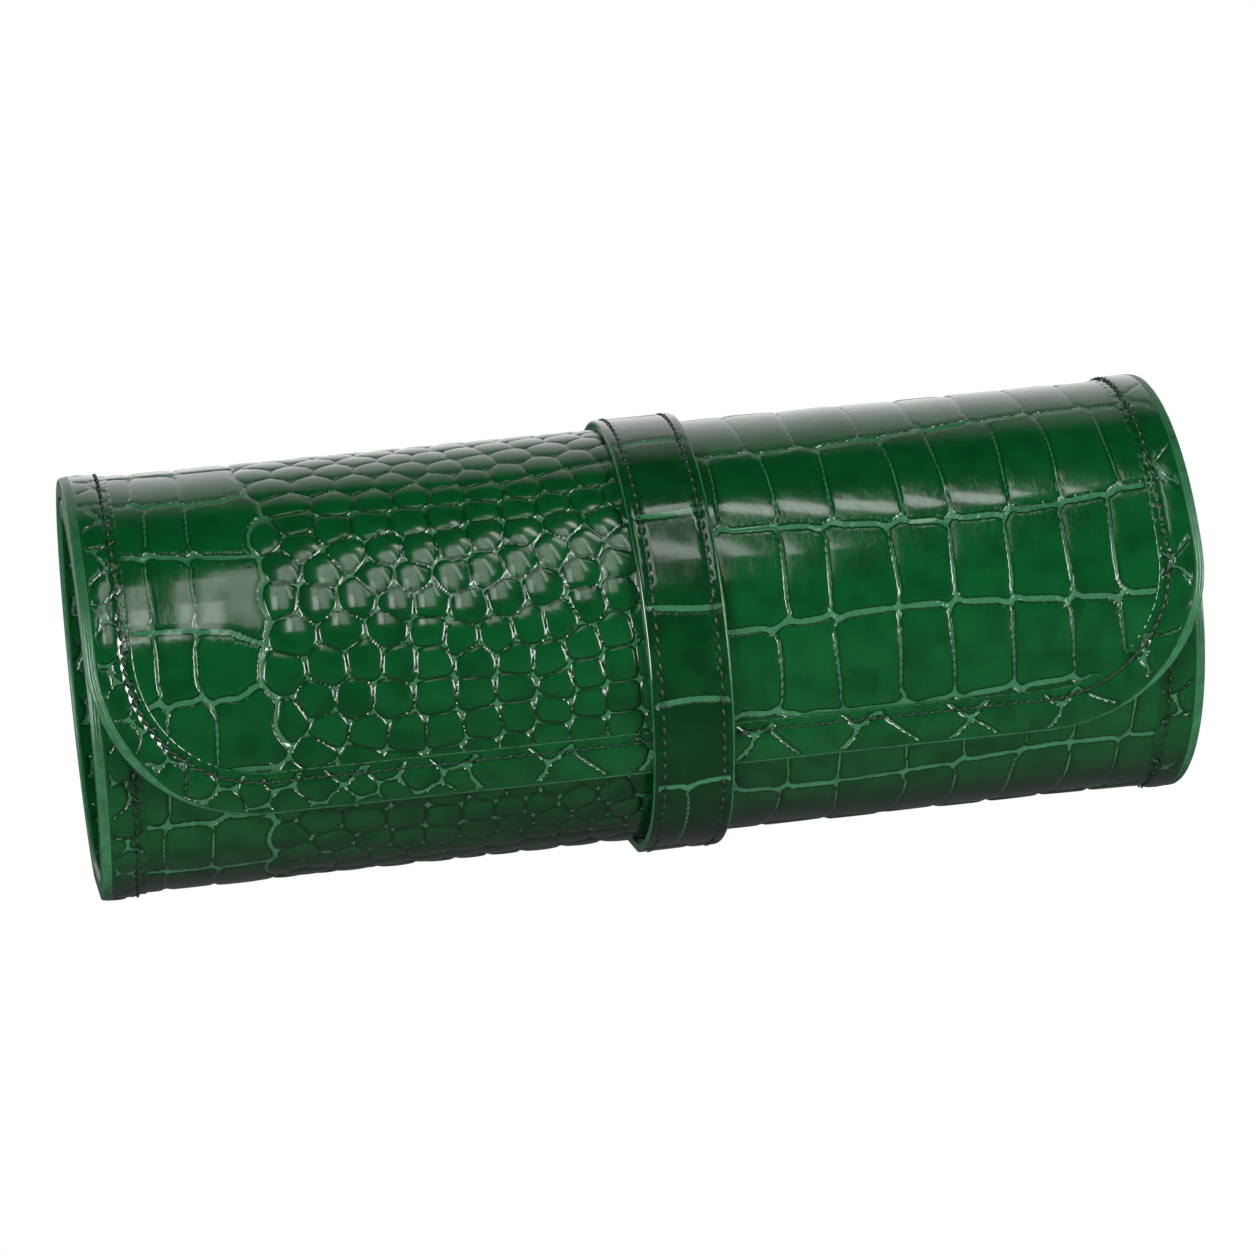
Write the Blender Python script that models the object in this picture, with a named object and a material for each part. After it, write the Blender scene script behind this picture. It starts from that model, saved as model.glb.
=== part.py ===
"""Rolled jewelry organizer: an embossed leather panel rolled one and a half turns, held by a strap.

Metres, +Z up. X runs along the roll. The origin is under the middle of the closed roll, on the
surface that it rests on.

The panel is one flexible sheet. Here it is ten stiff links, joined where the leather bends, so that
the roll can open flat. Every leather piece is drawn as a flat pattern and then rolled: a pattern's
second coordinate is the roll angle, which is 0 at the front, 90 on top, 180 at the back and 270
below, and keeps counting on the inner wrap. A layer is a function that gives a radius for an angle.
"""
import math

import bmesh
import bpy
from mathutils import Matrix, Vector

# Overall sizes
ROLL_LENGTH = 0.235
FLAP_EDGE_RADIUS = 0.0468        # radius of the outer skin at the free edge of the flap
TURNS = 1.5
LINKS = 10
FLAP_EDGE_ANGLE = -27.0          # degrees
FLAT_HALF_ANGLE = 15.0           # the underside is pressed flat over twice this angle
ROLL_STEP = 6.0                  # degrees between the flat facets of a rolled sheet

# Layers of the panel, from outside in
BORDER = 0.0008
SKIN = 0.0013
LINING = 0.0016
BOND_GAP = 0.0003                # between two layers that are bonded
WRAP_GAP = 0.0003                # between the outer wrap and the inner one
LINK_GAP = 0.0003                # between two links

# Border band and the flap's rounded corners
BORDER_WIDTH = 0.0100
CORNER_RADIUS = 0.036
CORNER_STEPS = 6

# Strap
STRAP_WIDTH = 0.0172
STRAP_X = 0.006
STRAP_THICKNESS = 0.0020
STRAP_BORDER_GAP = 0.0003        # over the flap's border band
STRAP_SKIN_GAP = 0.0004          # over the flap's skin, and where the strap is sewn to the back
TAIL_STAND_OFF = 0.0010          # over the skin below the flap
TAIL_LINK_ANGLE = 54.0
TAIL_END_ANGLE = 42.0
BORDER_HOLD_ANGLE = 16.0         # the strap lies level over the border band for this
BORDER_EASE_ANGLE = 30.0         # and settles on the skin over this
TAIL_EASE_ANGLE = 56.0           # the strap settles from the flap's edge on to the body over this

# Magnets that hold the strap's tail
MAGNET_RADIUS = 0.0060
MAGNET_THICKNESS = 0.0010
MAGNET_CLEARANCE = 0.0003
MAGNET_SEGMENTS = 24
MAGNET_ANGLE = 268.0

# Ring bar
BAR_RADIUS = 0.0085
BAR_MARGIN = 0.0425              # from the end of the roll to the end of the bar
BAR_END_ROUND = 0.0020
BAR_SEGMENTS = 24
BAR_GAP = 0.0003                 # to the wall, and between the bar and its tabs
TAB_WIDTH = 0.0120
TAB_LENGTH = 0.0150
TAB_THICKNESS = 0.0012
SNAP_CAP_RADIUS = 0.0042
SNAP_CAP_HEIGHT = 0.0014
SNAP_CAP_ROUND = 0.0005
SNAP_STUD_RADIUS = 0.0017
SNAP_CLEARANCE = 0.0003
SNAP_SEGMENTS = 20

# Zip pocket and slip pocket
POCKET_MARGIN = 0.0130           # from the end of the roll to the side of a pocket
POCKET_THICKNESS = 0.0010
TAPE_WIDTH = 0.0130
TAPE_THICKNESS = 0.0006
CHAIN_MARGIN = 0.0060            # from the end of the tape to the end of the chain
CHAIN_WIDTH = 0.0034
CHAIN_HEIGHT = 0.0012
ZIP_CLEARANCE = 0.0003
SLIDER_LENGTH = 0.0090
SLIDER_WIDTH = 0.0068
SLIDER_HEIGHT = 0.0018
SLIDER_ROUND = 0.0005
SLIDER_END_GAP = 0.0080          # from the end of the chain to the middle of the closed slider
CROWN_LENGTH = 0.0036
CROWN_WIDTH = 0.0014
CROWN_HEIGHT = 0.0020
PULL_LENGTH = 0.0190
PULL_WIDTH = 0.0056
PULL_THICKNESS = 0.0009
PULL_RIM = 0.0010                # of the pull behind its slot
ZIP_ANGLE = 447.0
ZIP_POCKET_END_ANGLE = 357.0
SLIP_MOUTH_ANGLE = 345.0
SLIP_POCKET_END_ANGLE = 249.0

# How far a cutter runs past what it cuts, and how close two points of a pattern may lie
OVERRUN = 0.0010
MERGE_DISTANCE = 0.000001

# Values that follow from the sizes above
LINK_ANGLE = 360 * TURNS / LINKS
INNER_END_ANGLE = FLAP_EDGE_ANGLE + LINKS * LINK_ANGLE
BORDER_TOP = BOND_GAP + BORDER
WALL = SKIN + BOND_GAP + LINING
WRAP_PITCH = WALL + BORDER_TOP + WRAP_GAP
SIDE = ROLL_LENGTH / 2

LINK_NAMES = ["flap_tip", "flap_front", "flap_top", "back_upper", "back_lower", "base",
              "front_inner", "front_upper", "top_inner", "inner_end"]
BASE = LINK_NAMES.index("base")
STRAP_LINKS = 4                  # how many links of the panel the strap lies over

GREEN = (0.010, 0.110, 0.040)
EDGE_GREEN = (0.050, 0.260, 0.120)
SUEDE_GREEN = (0.045, 0.150, 0.080)
STEEL = (0.62, 0.60, 0.55)


def ease(share):
    """Smooth step from 0 to 1."""
    kept = min(1.0, max(0.0, share))
    return kept * kept * (3 - 2 * kept)


def bend_angle(index):
    """Roll angle at which a link starts."""
    return FLAP_EDGE_ANGLE + index * LINK_ANGLE


def skin_top(angle):
    """The skin's outer face: a spiral that tightens by one wrap pitch a turn."""
    return FLAP_EDGE_RADIUS - WRAP_PITCH * (angle - FLAP_EDGE_ANGLE) / 360


def wall_face(angle):
    """The lining's inner face."""
    return skin_top(angle) - WALL


def strap_face(angle):
    """The strap's inner face: on the back, over the flap and its border, and down to the body."""
    on_border = skin_top(angle) + BORDER_TOP + STRAP_BORDER_GAP
    if angle >= FLAP_EDGE_ANGLE:
        settled = (angle - FLAP_EDGE_ANGLE - BORDER_HOLD_ANGLE) / BORDER_EASE_ANGLE
        return on_border + (skin_top(angle) + STRAP_SKIN_GAP - on_border) * ease(settled)
    on_body = skin_top(angle + 360) + TAIL_STAND_OFF
    return on_border + (on_body - on_border) * ease((FLAP_EDGE_ANGLE - angle) / TAIL_EASE_ANGLE)


def raised(layer, distance):
    """The layer that lies a distance outside another."""
    return lambda angle: layer(angle) + distance


def flat_depth(layer, angle):
    """How far below the roll's axis a layer's flat underside lies, on the wrap that holds an angle."""
    underside = -90.0 if angle < 90.0 else 270.0
    return layer(underside) * math.cos(math.radians(FLAT_HALF_ANGLE))


STRAP_TOP = raised(strap_face, STRAP_THICKNESS)

# The roll's axis is placed so that the strap's flat underside is at height 0 and the roll is
# centred front to back.
AXIS_Z = flat_depth(STRAP_TOP, -90.0)
AXIS_Y = (STRAP_TOP(0.0) - STRAP_TOP(180.0)) / 2


def place(x, angle, layer):
    """Point of a layer at a distance along the roll and a roll angle."""
    turn = math.radians(angle)
    height = max(layer(angle) * math.sin(turn), -flat_depth(layer, angle))
    return Vector((x, AXIS_Y - layer(angle) * math.cos(turn), AXIS_Z + height))


def bend_axis(angle):
    """The layer that a bend's axis lies in: just outside whatever is outermost there."""
    if angle < bend_angle(STRAP_LINKS):
        return STRAP_TOP(angle) + LINK_GAP / 2
    return skin_top(angle) + BORDER_TOP + LINK_GAP / 2


def angle_over(length, layer, angle):
    """Roll angle that a length along a layer spans."""
    return math.degrees(length / layer(angle))


# Half the gap between two links, as a roll angle
HALF_GAP = angle_over(LINK_GAP / 2, wall_face, INNER_END_ANGLE)


def material(name, colour, roughness, metallic=0.0):
    made = bpy.data.materials.new(name)
    made.use_nodes = True
    surface = made.node_tree.nodes["Principled BSDF"]
    surface.inputs["Base Color"].default_value = (*colour, 1)
    surface.inputs["Roughness"].default_value = roughness
    surface.inputs["Metallic"].default_value = metallic
    return made


def pivot(name, location, parent=None):
    """Empty on a joint's axis."""
    made = bpy.data.objects.new(name, None)
    bpy.context.scene.collection.objects.link(made)
    made.location = location
    attach(made, parent)
    bpy.context.view_layer.update()
    return made


def attach(made, parent):
    if parent:
        made.parent = parent
        made.matrix_parent_inverse = parent.matrix_world.inverted()


def finish(name, shape, parent, paint):
    """Turns a modelled shape into an object of its own."""
    bmesh.ops.recalc_face_normals(shape, faces=shape.faces[:])
    mesh = bpy.data.meshes.new(name)
    shape.to_mesh(mesh)
    shape.free()
    mesh.materials.append(paint)
    made = bpy.data.objects.new(name, mesh)
    bpy.context.scene.collection.objects.link(made)
    attach(made, parent)
    return made


def rolled(name, outline, inner, outer, parent, paint):
    """Cuts a flat pattern, rolls it and gives it the space between two layers. The pattern is a loop
    of points, each a distance along the roll and a roll angle."""
    shape = bmesh.new()
    shape.faces.new([shape.verts.new((x, math.radians(angle), 0)) for x, angle in outline])
    rows = [angle for _, angle in outline]
    steps = range(math.ceil((min(rows) - FLAP_EDGE_ANGLE) / ROLL_STEP),
                  math.ceil((max(rows) - FLAP_EDGE_ANGLE) / ROLL_STEP))
    facets = [FLAP_EDGE_ANGLE + ROLL_STEP * step for step in steps]
    rows += [facet for facet in facets if min(abs(facet - row) for row in rows) > ROLL_STEP / 12]
    for angle in sorted(set(rows)):
        bmesh.ops.bisect_plane(shape, geom=shape.verts[:] + shape.edges[:] + shape.faces[:],
                               dist=MERGE_DISTANCE, plane_co=(0, math.radians(angle), 0),
                               plane_no=(0, 1, 0))
    lower = set(shape.verts)
    bmesh.ops.extrude_face_region(shape, geom=shape.faces[:], use_keep_orig=True)
    for corner in shape.verts:
        angle = math.degrees(corner.co.y)
        corner.co = place(corner.co.x, angle, inner if corner in lower else outer)
    return finish(name, shape, parent, paint)


def rectangle(x_from, x_to, angle_from, angle_to):
    return [(x_from, angle_from), (x_to, angle_from), (x_to, angle_to), (x_from, angle_to)]


def standing(x, angle, layer):
    """Frame on a layer: local X along the roll, local Z towards the roll's axis."""
    turn = math.radians(angle)
    inward = Vector((0, math.cos(turn), -math.sin(turn)))
    across = inward.cross(Vector((1, 0, 0)))
    frame = Matrix((Vector((1, 0, 0)), across, inward)).transposed()
    return Matrix.Translation(place(x, angle, layer)) @ frame.to_4x4()


def block(name, seat, size, low, parent, paint, shift=0.0):
    """Block of a length, width and height, from a distance above its seat."""
    length, width, height = size
    shape = bmesh.new()
    middle = Matrix.Translation((shift, 0, low + height / 2))
    bmesh.ops.create_cube(shape, size=1.0, matrix=seat @ middle @ Matrix.Diagonal((length, width, height, 1)))
    return finish(name, shape, parent, paint)


def disc(name, seat, radius, low, high, segments, parent, paint):
    """Round plate between two distances above its seat."""
    shape = bmesh.new()
    bmesh.ops.create_cone(shape, cap_ends=True, segments=segments, radius1=radius, radius2=radius,
                          depth=high - low, matrix=seat @ Matrix.Translation((0, 0, (low + high) / 2)))
    return finish(name, shape, parent, paint)


def combine(target, tool, operation):
    """Cuts a hidden shape out of a piece, or joins it on."""
    tool.hide_render = True
    tool.display_type = "WIRE"
    step = target.modifiers.new(tool.name, "BOOLEAN")
    step.operation = operation
    step.object = tool


def shade_round(target):
    target.data.shade_smooth()
    target.data.set_sharp_from_angle(angle=math.radians(35))


def bevel(target, width, segments=2):
    rounding = target.modifiers.new("rounding", "BEVEL")
    rounding.width = width
    rounding.segments = segments
    rounding.limit_method = "ANGLE"


def corner_points(half_width, edge, radius):
    """Quarter round at the flap's right corner, from its free edge up to its side."""
    points = []
    for count in range(CORNER_STEPS + 1):
        turn = math.radians(90 * count / CORNER_STEPS)
        rise = edge + radius - radius * math.cos(turn)
        points.append((half_width - radius + radius * math.sin(turn),
                       FLAP_EDGE_ANGLE + angle_over(rise, skin_top, FLAP_EDGE_ANGLE)))
    return points


def mirrored(points):
    return [(-x, angle) for x, angle in reversed(points)]


def flap_outline(end):
    """The flap's rounded end, from side to side."""
    right = corner_points(SIDE, 0, CORNER_RADIUS)
    return mirrored(right) + right + [(SIDE, end), (-SIDE, end)]


def flap_border(end):
    """The band round the flap's free edge and its two corners, as one U."""
    inside = corner_points(SIDE - BORDER_WIDTH, BORDER_WIDTH, CORNER_RADIUS - BORDER_WIDTH)
    outside = corner_points(SIDE, 0, CORNER_RADIUS) + [(SIDE, end), (SIDE - BORDER_WIDTH, end)]
    return mirrored(outside) + outside + list(reversed(inside)) + list(reversed(mirrored(inside)))


def inner_end_border(start, end):
    """The band round the panel's inner end: two sides and a cross piece, as one U."""
    inside = SIDE - BORDER_WIDTH
    band = end - angle_over(BORDER_WIDTH, skin_top, end)
    half = [(inside, band), (inside, start), (SIDE, start), (SIDE, end)]
    return half + mirrored(half)


def make_link(index, parent, paints):
    """Skin, border band and lining of one link of the panel. Returns the lining."""
    name = LINK_NAMES[index]
    start = bend_angle(index) + (HALF_GAP if index > 0 else 0)
    end = bend_angle(index + 1) - (HALF_GAP if index < LINKS - 1 else 0)
    sheet = rectangle(-SIDE, SIDE, start, end)
    bands = {"border_left_": rectangle(-SIDE, BORDER_WIDTH - SIDE, start, end),
             "border_right_": rectangle(SIDE - BORDER_WIDTH, SIDE, start, end)}
    if index == 0:
        sheet = flap_outline(end)
        bands = {"border_": flap_border(end)}
    if index == LINKS - 1:
        bands = {"border_": inner_end_border(start, end)}
    rolled("skin_" + name, sheet, raised(skin_top, -SKIN), skin_top, parent, paints["skin"])
    for prefix, band in bands.items():
        rolled(prefix + name, band, raised(skin_top, BOND_GAP), raised(skin_top, BORDER_TOP), parent,
               paints["skin"])
    return rolled("lining_" + name, sheet, wall_face, raised(wall_face, LINING), parent, paints["lining"])


def make_strap_link(name, start, end, parent, paints):
    pattern = rectangle(STRAP_X - STRAP_WIDTH / 2, STRAP_X + STRAP_WIDTH / 2, start, end)
    return rolled("strap_" + name, pattern, strap_face, STRAP_TOP, parent, paints["strap"])


def make_magnet(name, sheet, seat, depth, parent, paints):
    """Disc sunk in a sheet of leather, in a hole of its own."""
    hole = disc("cutter_" + name, seat, MAGNET_RADIUS + MAGNET_CLEARANCE, -depth, OVERRUN, MAGNET_SEGMENTS,
                parent, paints["steel"])
    combine(sheet, hole, "DIFFERENCE")
    made = disc(name, seat, MAGNET_RADIUS, -MAGNET_THICKNESS, 0, MAGNET_SEGMENTS, parent, paints["steel"])
    shade_round(made)


def make_ring_bar(wall, paints):
    """Padded bar for rings on the inner end. Its left end is sewn down and its right end snaps shut,
    so that rings can be slid on."""
    angle = bend_angle(LINKS) - LINK_ANGLE / 2
    seat = standing(0, angle, raised(wall_face, -BAR_GAP))
    end = SIDE - BAR_MARGIN
    lift = pivot("ring_bar_lift", seat @ Vector((-end - BAR_GAP / 2, 0, TAB_THICKNESS)), wall)
    shape = bmesh.new()
    lying = Matrix.Translation((0, 0, BAR_RADIUS)) @ Matrix.Rotation(math.radians(90), 4, "Y")
    bmesh.ops.create_cone(shape, cap_ends=True, segments=BAR_SEGMENTS, radius1=BAR_RADIUS,
                          radius2=BAR_RADIUS, depth=2 * end, matrix=seat @ lying)
    cushion = finish("ring_bar_cushion", shape, lift, paints["suede"])
    bevel(cushion, BAR_END_ROUND, 3)
    shade_round(cushion)

    tab_end = end + BAR_GAP + TAB_LENGTH
    half_tab = angle_over(TAB_WIDTH / 2, wall_face, angle)
    pattern = rectangle(tab_end - TAB_LENGTH, tab_end, angle - half_tab, angle + half_tab)
    tab_back = raised(wall_face, -BAR_GAP)
    tab_front = raised(tab_back, -TAB_THICKNESS)
    rolled("ring_bar_anchor", mirrored(pattern), tab_front, tab_back, wall, paints["lining"])
    tab = rolled("ring_bar_tab", pattern, tab_front, tab_back, lift, paints["lining"])
    snap = seat @ Matrix.Translation((tab_end - TAB_LENGTH / 2, 0, 0))
    bore = disc("cutter_ring_bar_snap", snap, SNAP_STUD_RADIUS + SNAP_CLEARANCE, -OVERRUN,
                TAB_THICKNESS + OVERRUN, SNAP_SEGMENTS, lift, paints["steel"])
    combine(tab, bore, "DIFFERENCE")
    disc("ring_bar_snap_stud", snap, SNAP_STUD_RADIUS, 0, TAB_THICKNESS, SNAP_SEGMENTS, wall, paints["steel"])
    tab_hollow = SNAP_CAP_RADIUS ** 2 / (2 * tab_front(angle))
    cap_low = TAB_THICKNESS + tab_hollow + BOND_GAP
    cap = disc("ring_bar_snap_cap", snap, SNAP_CAP_RADIUS, cap_low, cap_low + SNAP_CAP_HEIGHT, SNAP_SEGMENTS,
               lift, paints["steel"])
    bevel(cap, SNAP_CAP_ROUND)
    shade_round(cap)


def make_pocket_front(name, mouth, end, bend, upper_wall, lower_wall, paints):
    """Front panel of a pocket, in two stretches that meet where the panel bends."""
    half = SIDE - POCKET_MARGIN
    back = raised(wall_face, -BOND_GAP)
    front = raised(back, -POCKET_THICKNESS)
    rolled(name + "_upper", rectangle(-half, half, bend + HALF_GAP, mouth), front, back, upper_wall,
           paints["suede"])
    rolled(name + "_lower", rectangle(-half, half, end, bend - HALF_GAP), front, back, lower_wall,
           paints["suede"])


def make_zip(wall, paints):
    """Tape, chain, slider and pull of the zip pocket. Returns the roll angle of the tape's lower edge."""
    half = SIDE - POCKET_MARGIN
    seat = standing(0, ZIP_ANGLE, raised(wall_face, -BOND_GAP))
    spread = angle_over(TAPE_WIDTH / 2, wall_face, ZIP_ANGLE)
    tape_back = raised(wall_face, -BOND_GAP)
    rolled("zip_tape", rectangle(-half, half, ZIP_ANGLE - spread, ZIP_ANGLE + spread),
           raised(tape_back, -TAPE_THICKNESS), tape_back, wall, paints["tape"])
    chain_half = half - CHAIN_MARGIN
    chain_low = TAPE_THICKNESS + ZIP_CLEARANCE
    block("zip_chain", seat, (2 * chain_half, CHAIN_WIDTH, CHAIN_HEIGHT), chain_low, wall, paints["steel"])

    slider_x = SLIDER_END_GAP - chain_half
    slider_seat = seat @ Matrix.Translation((slider_x, 0, chain_low + CHAIN_HEIGHT + ZIP_CLEARANCE))
    run = pivot("zip_slide", slider_seat.translation, wall)
    slider = block("zip_slider", slider_seat, (SLIDER_LENGTH, SLIDER_WIDTH, SLIDER_HEIGHT), 0, run,
                   paints["steel"])
    bevel(slider, SLIDER_ROUND)
    crown_size = (CROWN_LENGTH, CROWN_WIDTH, CROWN_HEIGHT + SLIDER_HEIGHT / 2)
    crown = block("zip_crown", slider_seat, crown_size, SLIDER_HEIGHT / 2, run, paints["steel"])
    combine(slider, crown, "UNION")

    # The pull's slot goes round the crown, its rim turns behind it and its free end lies on the chain.
    pull_seat = slider_seat @ Matrix.Translation((0, 0, SLIDER_HEIGHT + ZIP_CLEARANCE))
    slot_half = CROWN_LENGTH / 2 + PULL_THICKNESS
    rim = -slot_half - PULL_RIM / 2
    flip = pivot("zip_pull_flip", pull_seat @ Vector((rim, 0, PULL_THICKNESS / 2)), run)
    pull = block("zip_pull", pull_seat, (PULL_LENGTH, PULL_WIDTH, PULL_THICKNESS), 0, flip, paints["steel"],
                 rim + (PULL_LENGTH - PULL_RIM) / 2)
    slot_size = (2 * slot_half, CROWN_WIDTH + 2 * ZIP_CLEARANCE, PULL_THICKNESS + 2 * OVERRUN)
    slot = block("cutter_zip_pull", pull_seat, slot_size, -OVERRUN, flip, paints["steel"])
    combine(pull, slot, "DIFFERENCE")
    return ZIP_ANGLE - spread


def make_panel(paints):
    """The ten links on their bends. Returns each link's pivot and its lining."""
    walls = {BASE: pivot("base_body", place(0, 270.0, skin_top))}
    for index in list(range(BASE - 1, -1, -1)) + list(range(BASE + 1, LINKS)):
        bend = bend_angle(index + 1 if index < BASE else index)
        inner_neighbour = walls[index + 1 if index < BASE else index - 1]
        walls[index] = pivot("bend_" + LINK_NAMES[index], place(0, bend, bend_axis), inner_neighbour)
    return walls, [make_link(index, walls[index], paints) for index in range(LINKS)]


def make_strap(walls, paints):
    """The strap over the panel's links, and its two free links. Returns the last link and its pivot."""
    for index in range(STRAP_LINKS):
        make_strap_link(LINK_NAMES[index], bend_angle(index) + HALF_GAP, bend_angle(index + 1) - HALF_GAP,
                        walls[index], paints)
    tail_bend = FLAP_EDGE_ANGLE - TAIL_LINK_ANGLE
    upper = pivot("bend_tail_upper", place(0, FLAP_EDGE_ANGLE, bend_axis), walls[0])
    lower = pivot("bend_tail_lower", place(0, tail_bend, bend_axis), upper)
    make_strap_link("tail_upper", tail_bend + HALF_GAP, FLAP_EDGE_ANGLE - HALF_GAP, upper, paints)
    end = make_strap_link("tail_lower", tail_bend - TAIL_END_ANGLE, tail_bend - HALF_GAP, lower, paints)
    return end, lower


def build():
    for old in list(bpy.data.objects):
        bpy.data.objects.remove(old)
    paints = {
        "skin": material("embossed_leather", GREEN, 0.12),
        "strap": material("strap_leather", GREEN, 0.12),
        "lining": material("painted_lining", EDGE_GREEN, 0.6),
        "tape": material("zip_tape", SUEDE_GREEN, 0.9),
        "suede": material("suede", SUEDE_GREEN, 0.95),
        "steel": material("pale_metal", STEEL, 0.25, 1.0),
    }
    walls, linings = make_panel(paints)
    strap_end, tail = make_strap(walls, paints)
    tail_seat = standing(STRAP_X, 270.0, strap_face)
    tail_seat.translation = place(STRAP_X, MAGNET_ANGLE - 360, strap_face)
    make_magnet("strap_magnet", strap_end, tail_seat, MAGNET_THICKNESS + MAGNET_CLEARANCE, tail, paints)
    base_seat = standing(STRAP_X, 270.0, wall_face)
    base_seat.translation = place(STRAP_X, MAGNET_ANGLE, wall_face)
    make_magnet("base_magnet", linings[BASE], base_seat, LINING + OVERRUN, walls[BASE], paints)
    make_ring_bar(walls[LINKS - 1], paints)
    tape_edge = make_zip(walls[LINKS - 2], paints)
    make_pocket_front("zip_pocket", tape_edge - HALF_GAP, ZIP_POCKET_END_ANGLE, bend_angle(LINKS - 2),
                      walls[LINKS - 2], walls[LINKS - 3], paints)
    make_pocket_front("slip_pocket", SLIP_MOUTH_ANGLE, SLIP_POCKET_END_ANGLE, bend_angle(BASE + 1),
                      walls[BASE + 1], walls[BASE], paints)


build()
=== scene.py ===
"""Rolled jewelry organizer in glossy embossed leather: the looks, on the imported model's bodies.

Lengths are in millimetres where a name ends in _MM or a comment says so, and in metres elsewhere.
"""
import math
import random

import bmesh
import bpy
import numpy as np
from mathutils import Matrix, Vector


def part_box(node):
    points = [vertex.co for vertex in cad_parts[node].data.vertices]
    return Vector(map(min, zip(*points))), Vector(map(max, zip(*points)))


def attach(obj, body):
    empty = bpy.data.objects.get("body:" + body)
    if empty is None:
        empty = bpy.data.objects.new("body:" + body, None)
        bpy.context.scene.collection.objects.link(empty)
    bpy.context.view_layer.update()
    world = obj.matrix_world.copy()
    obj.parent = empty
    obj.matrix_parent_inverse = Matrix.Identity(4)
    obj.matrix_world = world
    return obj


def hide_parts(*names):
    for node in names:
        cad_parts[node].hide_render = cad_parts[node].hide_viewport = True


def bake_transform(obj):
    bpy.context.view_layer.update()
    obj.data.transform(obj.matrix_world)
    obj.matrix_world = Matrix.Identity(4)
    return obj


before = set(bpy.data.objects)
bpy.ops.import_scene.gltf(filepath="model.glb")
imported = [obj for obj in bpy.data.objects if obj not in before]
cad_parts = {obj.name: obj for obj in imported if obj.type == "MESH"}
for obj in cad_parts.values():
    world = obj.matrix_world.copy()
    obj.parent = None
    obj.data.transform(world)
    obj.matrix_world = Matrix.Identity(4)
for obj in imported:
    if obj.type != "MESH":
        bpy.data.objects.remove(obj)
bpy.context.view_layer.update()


# The photograph's camera: a long lens a little left of the roll and above it, tilted so that the
# roll climbs to the right. The picture is 1254 pixels square.
CAMERA_PLACE = (-0.16186, -1.06216, 0.22819)
CAMERA_YAW = 0.1519
CAMERA_PITCH = 0.1668
CAMERA_ROLL = -0.0769
CAMERA_FOCAL_PIXELS = 5059.4
PICTURE_PIXELS = 1254

camera_data = bpy.data.cameras.new("photo_camera")
camera_data.lens = CAMERA_FOCAL_PIXELS / PICTURE_PIXELS * camera_data.sensor_width
camera = bpy.data.objects.new("photo_camera", camera_data)
bpy.context.scene.collection.objects.link(camera)
aim = Vector((math.sin(CAMERA_YAW) * math.cos(CAMERA_PITCH), math.cos(CAMERA_YAW) * math.cos(CAMERA_PITCH),
              -math.sin(CAMERA_PITCH)))
level = Vector((math.cos(CAMERA_YAW), -math.sin(CAMERA_YAW), 0))
above = level.cross(aim)
right = math.cos(CAMERA_ROLL) * level + math.sin(CAMERA_ROLL) * above
up = math.cos(CAMERA_ROLL) * above - math.sin(CAMERA_ROLL) * level
camera.matrix_world = Matrix.Translation(CAMERA_PLACE) @ Matrix((right, up, -aim)).transposed().to_4x4()
bpy.context.scene.camera = camera
bpy.context.scene.view_settings.view_transform = "Standard"


# The white table and the room. The camera sees plain white round the roll. The leather reflects a dim
# room with a pale back wall, white panels in front to the left and right, and pale patches of table.
# A ramp has two places, then the strength at each of them.
TABLE_SIZE = 6.0
TABLE_NEAR_RAMP = (0.05, 0.12, 0.08, 0.008)
TABLE_FLANK_RAMP = (0.35, 0.60, 0.0, 8.0)
TABLE_FLANK_FADE = (0.7, 1.0, 1.0, 0.0)
TABLE_FILL = 4.4                 # on matt surfaces only
BACK_WALL_RAMP = (0.36, 1.0, 0.006, 1.0)
SIDE_PANEL_RAMP = (0.66, 0.74, 0.0, 26.0)
SIDE_PANEL_FADES = ((0.85, 0.89, 1.0, 0.0), (0.35, 0.55, 1.0, 0.0), (-0.30, -0.10, 1.0, 0.0))
ROOM_FILL_RAMP = (0.0, 1.0, 1.0, 0.18)


def plain_material(name, colour, roughness, metallic=0.0):
    made = bpy.data.materials.new(name)
    made.use_nodes = True
    surface = made.node_tree.nodes["Principled BSDF"]
    surface.inputs["Base Color"].default_value = (*colour, 1)
    surface.inputs["Roughness"].default_value = roughness
    surface.inputs["Metallic"].default_value = metallic
    return made, surface


def calculate(tree, operation, *values):
    made = tree.nodes.new("ShaderNodeMath")
    made.operation = operation
    for place, value in enumerate(values):
        if isinstance(value, (int, float)):
            made.inputs[place].default_value = value
        else:
            tree.links.new(value, made.inputs[place])
    return made.outputs[0]


def remap(tree, value, low, high, to_low=0.0, to_high=1.0, kind="SMOOTHSTEP"):
    made = tree.nodes.new("ShaderNodeMapRange")
    made.interpolation_type = kind
    tree.links.new(value, made.inputs["Value"])
    for socket, number in (("From Min", low), ("From Max", high), ("To Min", to_low), ("To Max", to_high)):
        made.inputs[socket].default_value = number
    return made.outputs["Result"]


def ramp(tree, value, span):
    return remap(tree, value, *span, kind="LINEAR")


def mix_colours(tree, share, first, second):
    made = tree.nodes.new("ShaderNodeMix")
    made.data_type = "RGBA"
    for socket, value in ((made.inputs["Factor"], share), (made.inputs[6], first), (made.inputs[7], second)):
        if isinstance(value, (int, float)):
            socket.default_value = value
        elif isinstance(value, tuple):
            socket.default_value = (*value, 1)
        else:
            tree.links.new(value, socket)
    return made.outputs[2]


def split_place(tree, space):
    split = tree.nodes.new("ShaderNodeSeparateXYZ")
    tree.links.new(tree.nodes.new("ShaderNodeTexCoord").outputs[space], split.inputs["Vector"])
    return split.outputs


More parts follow.
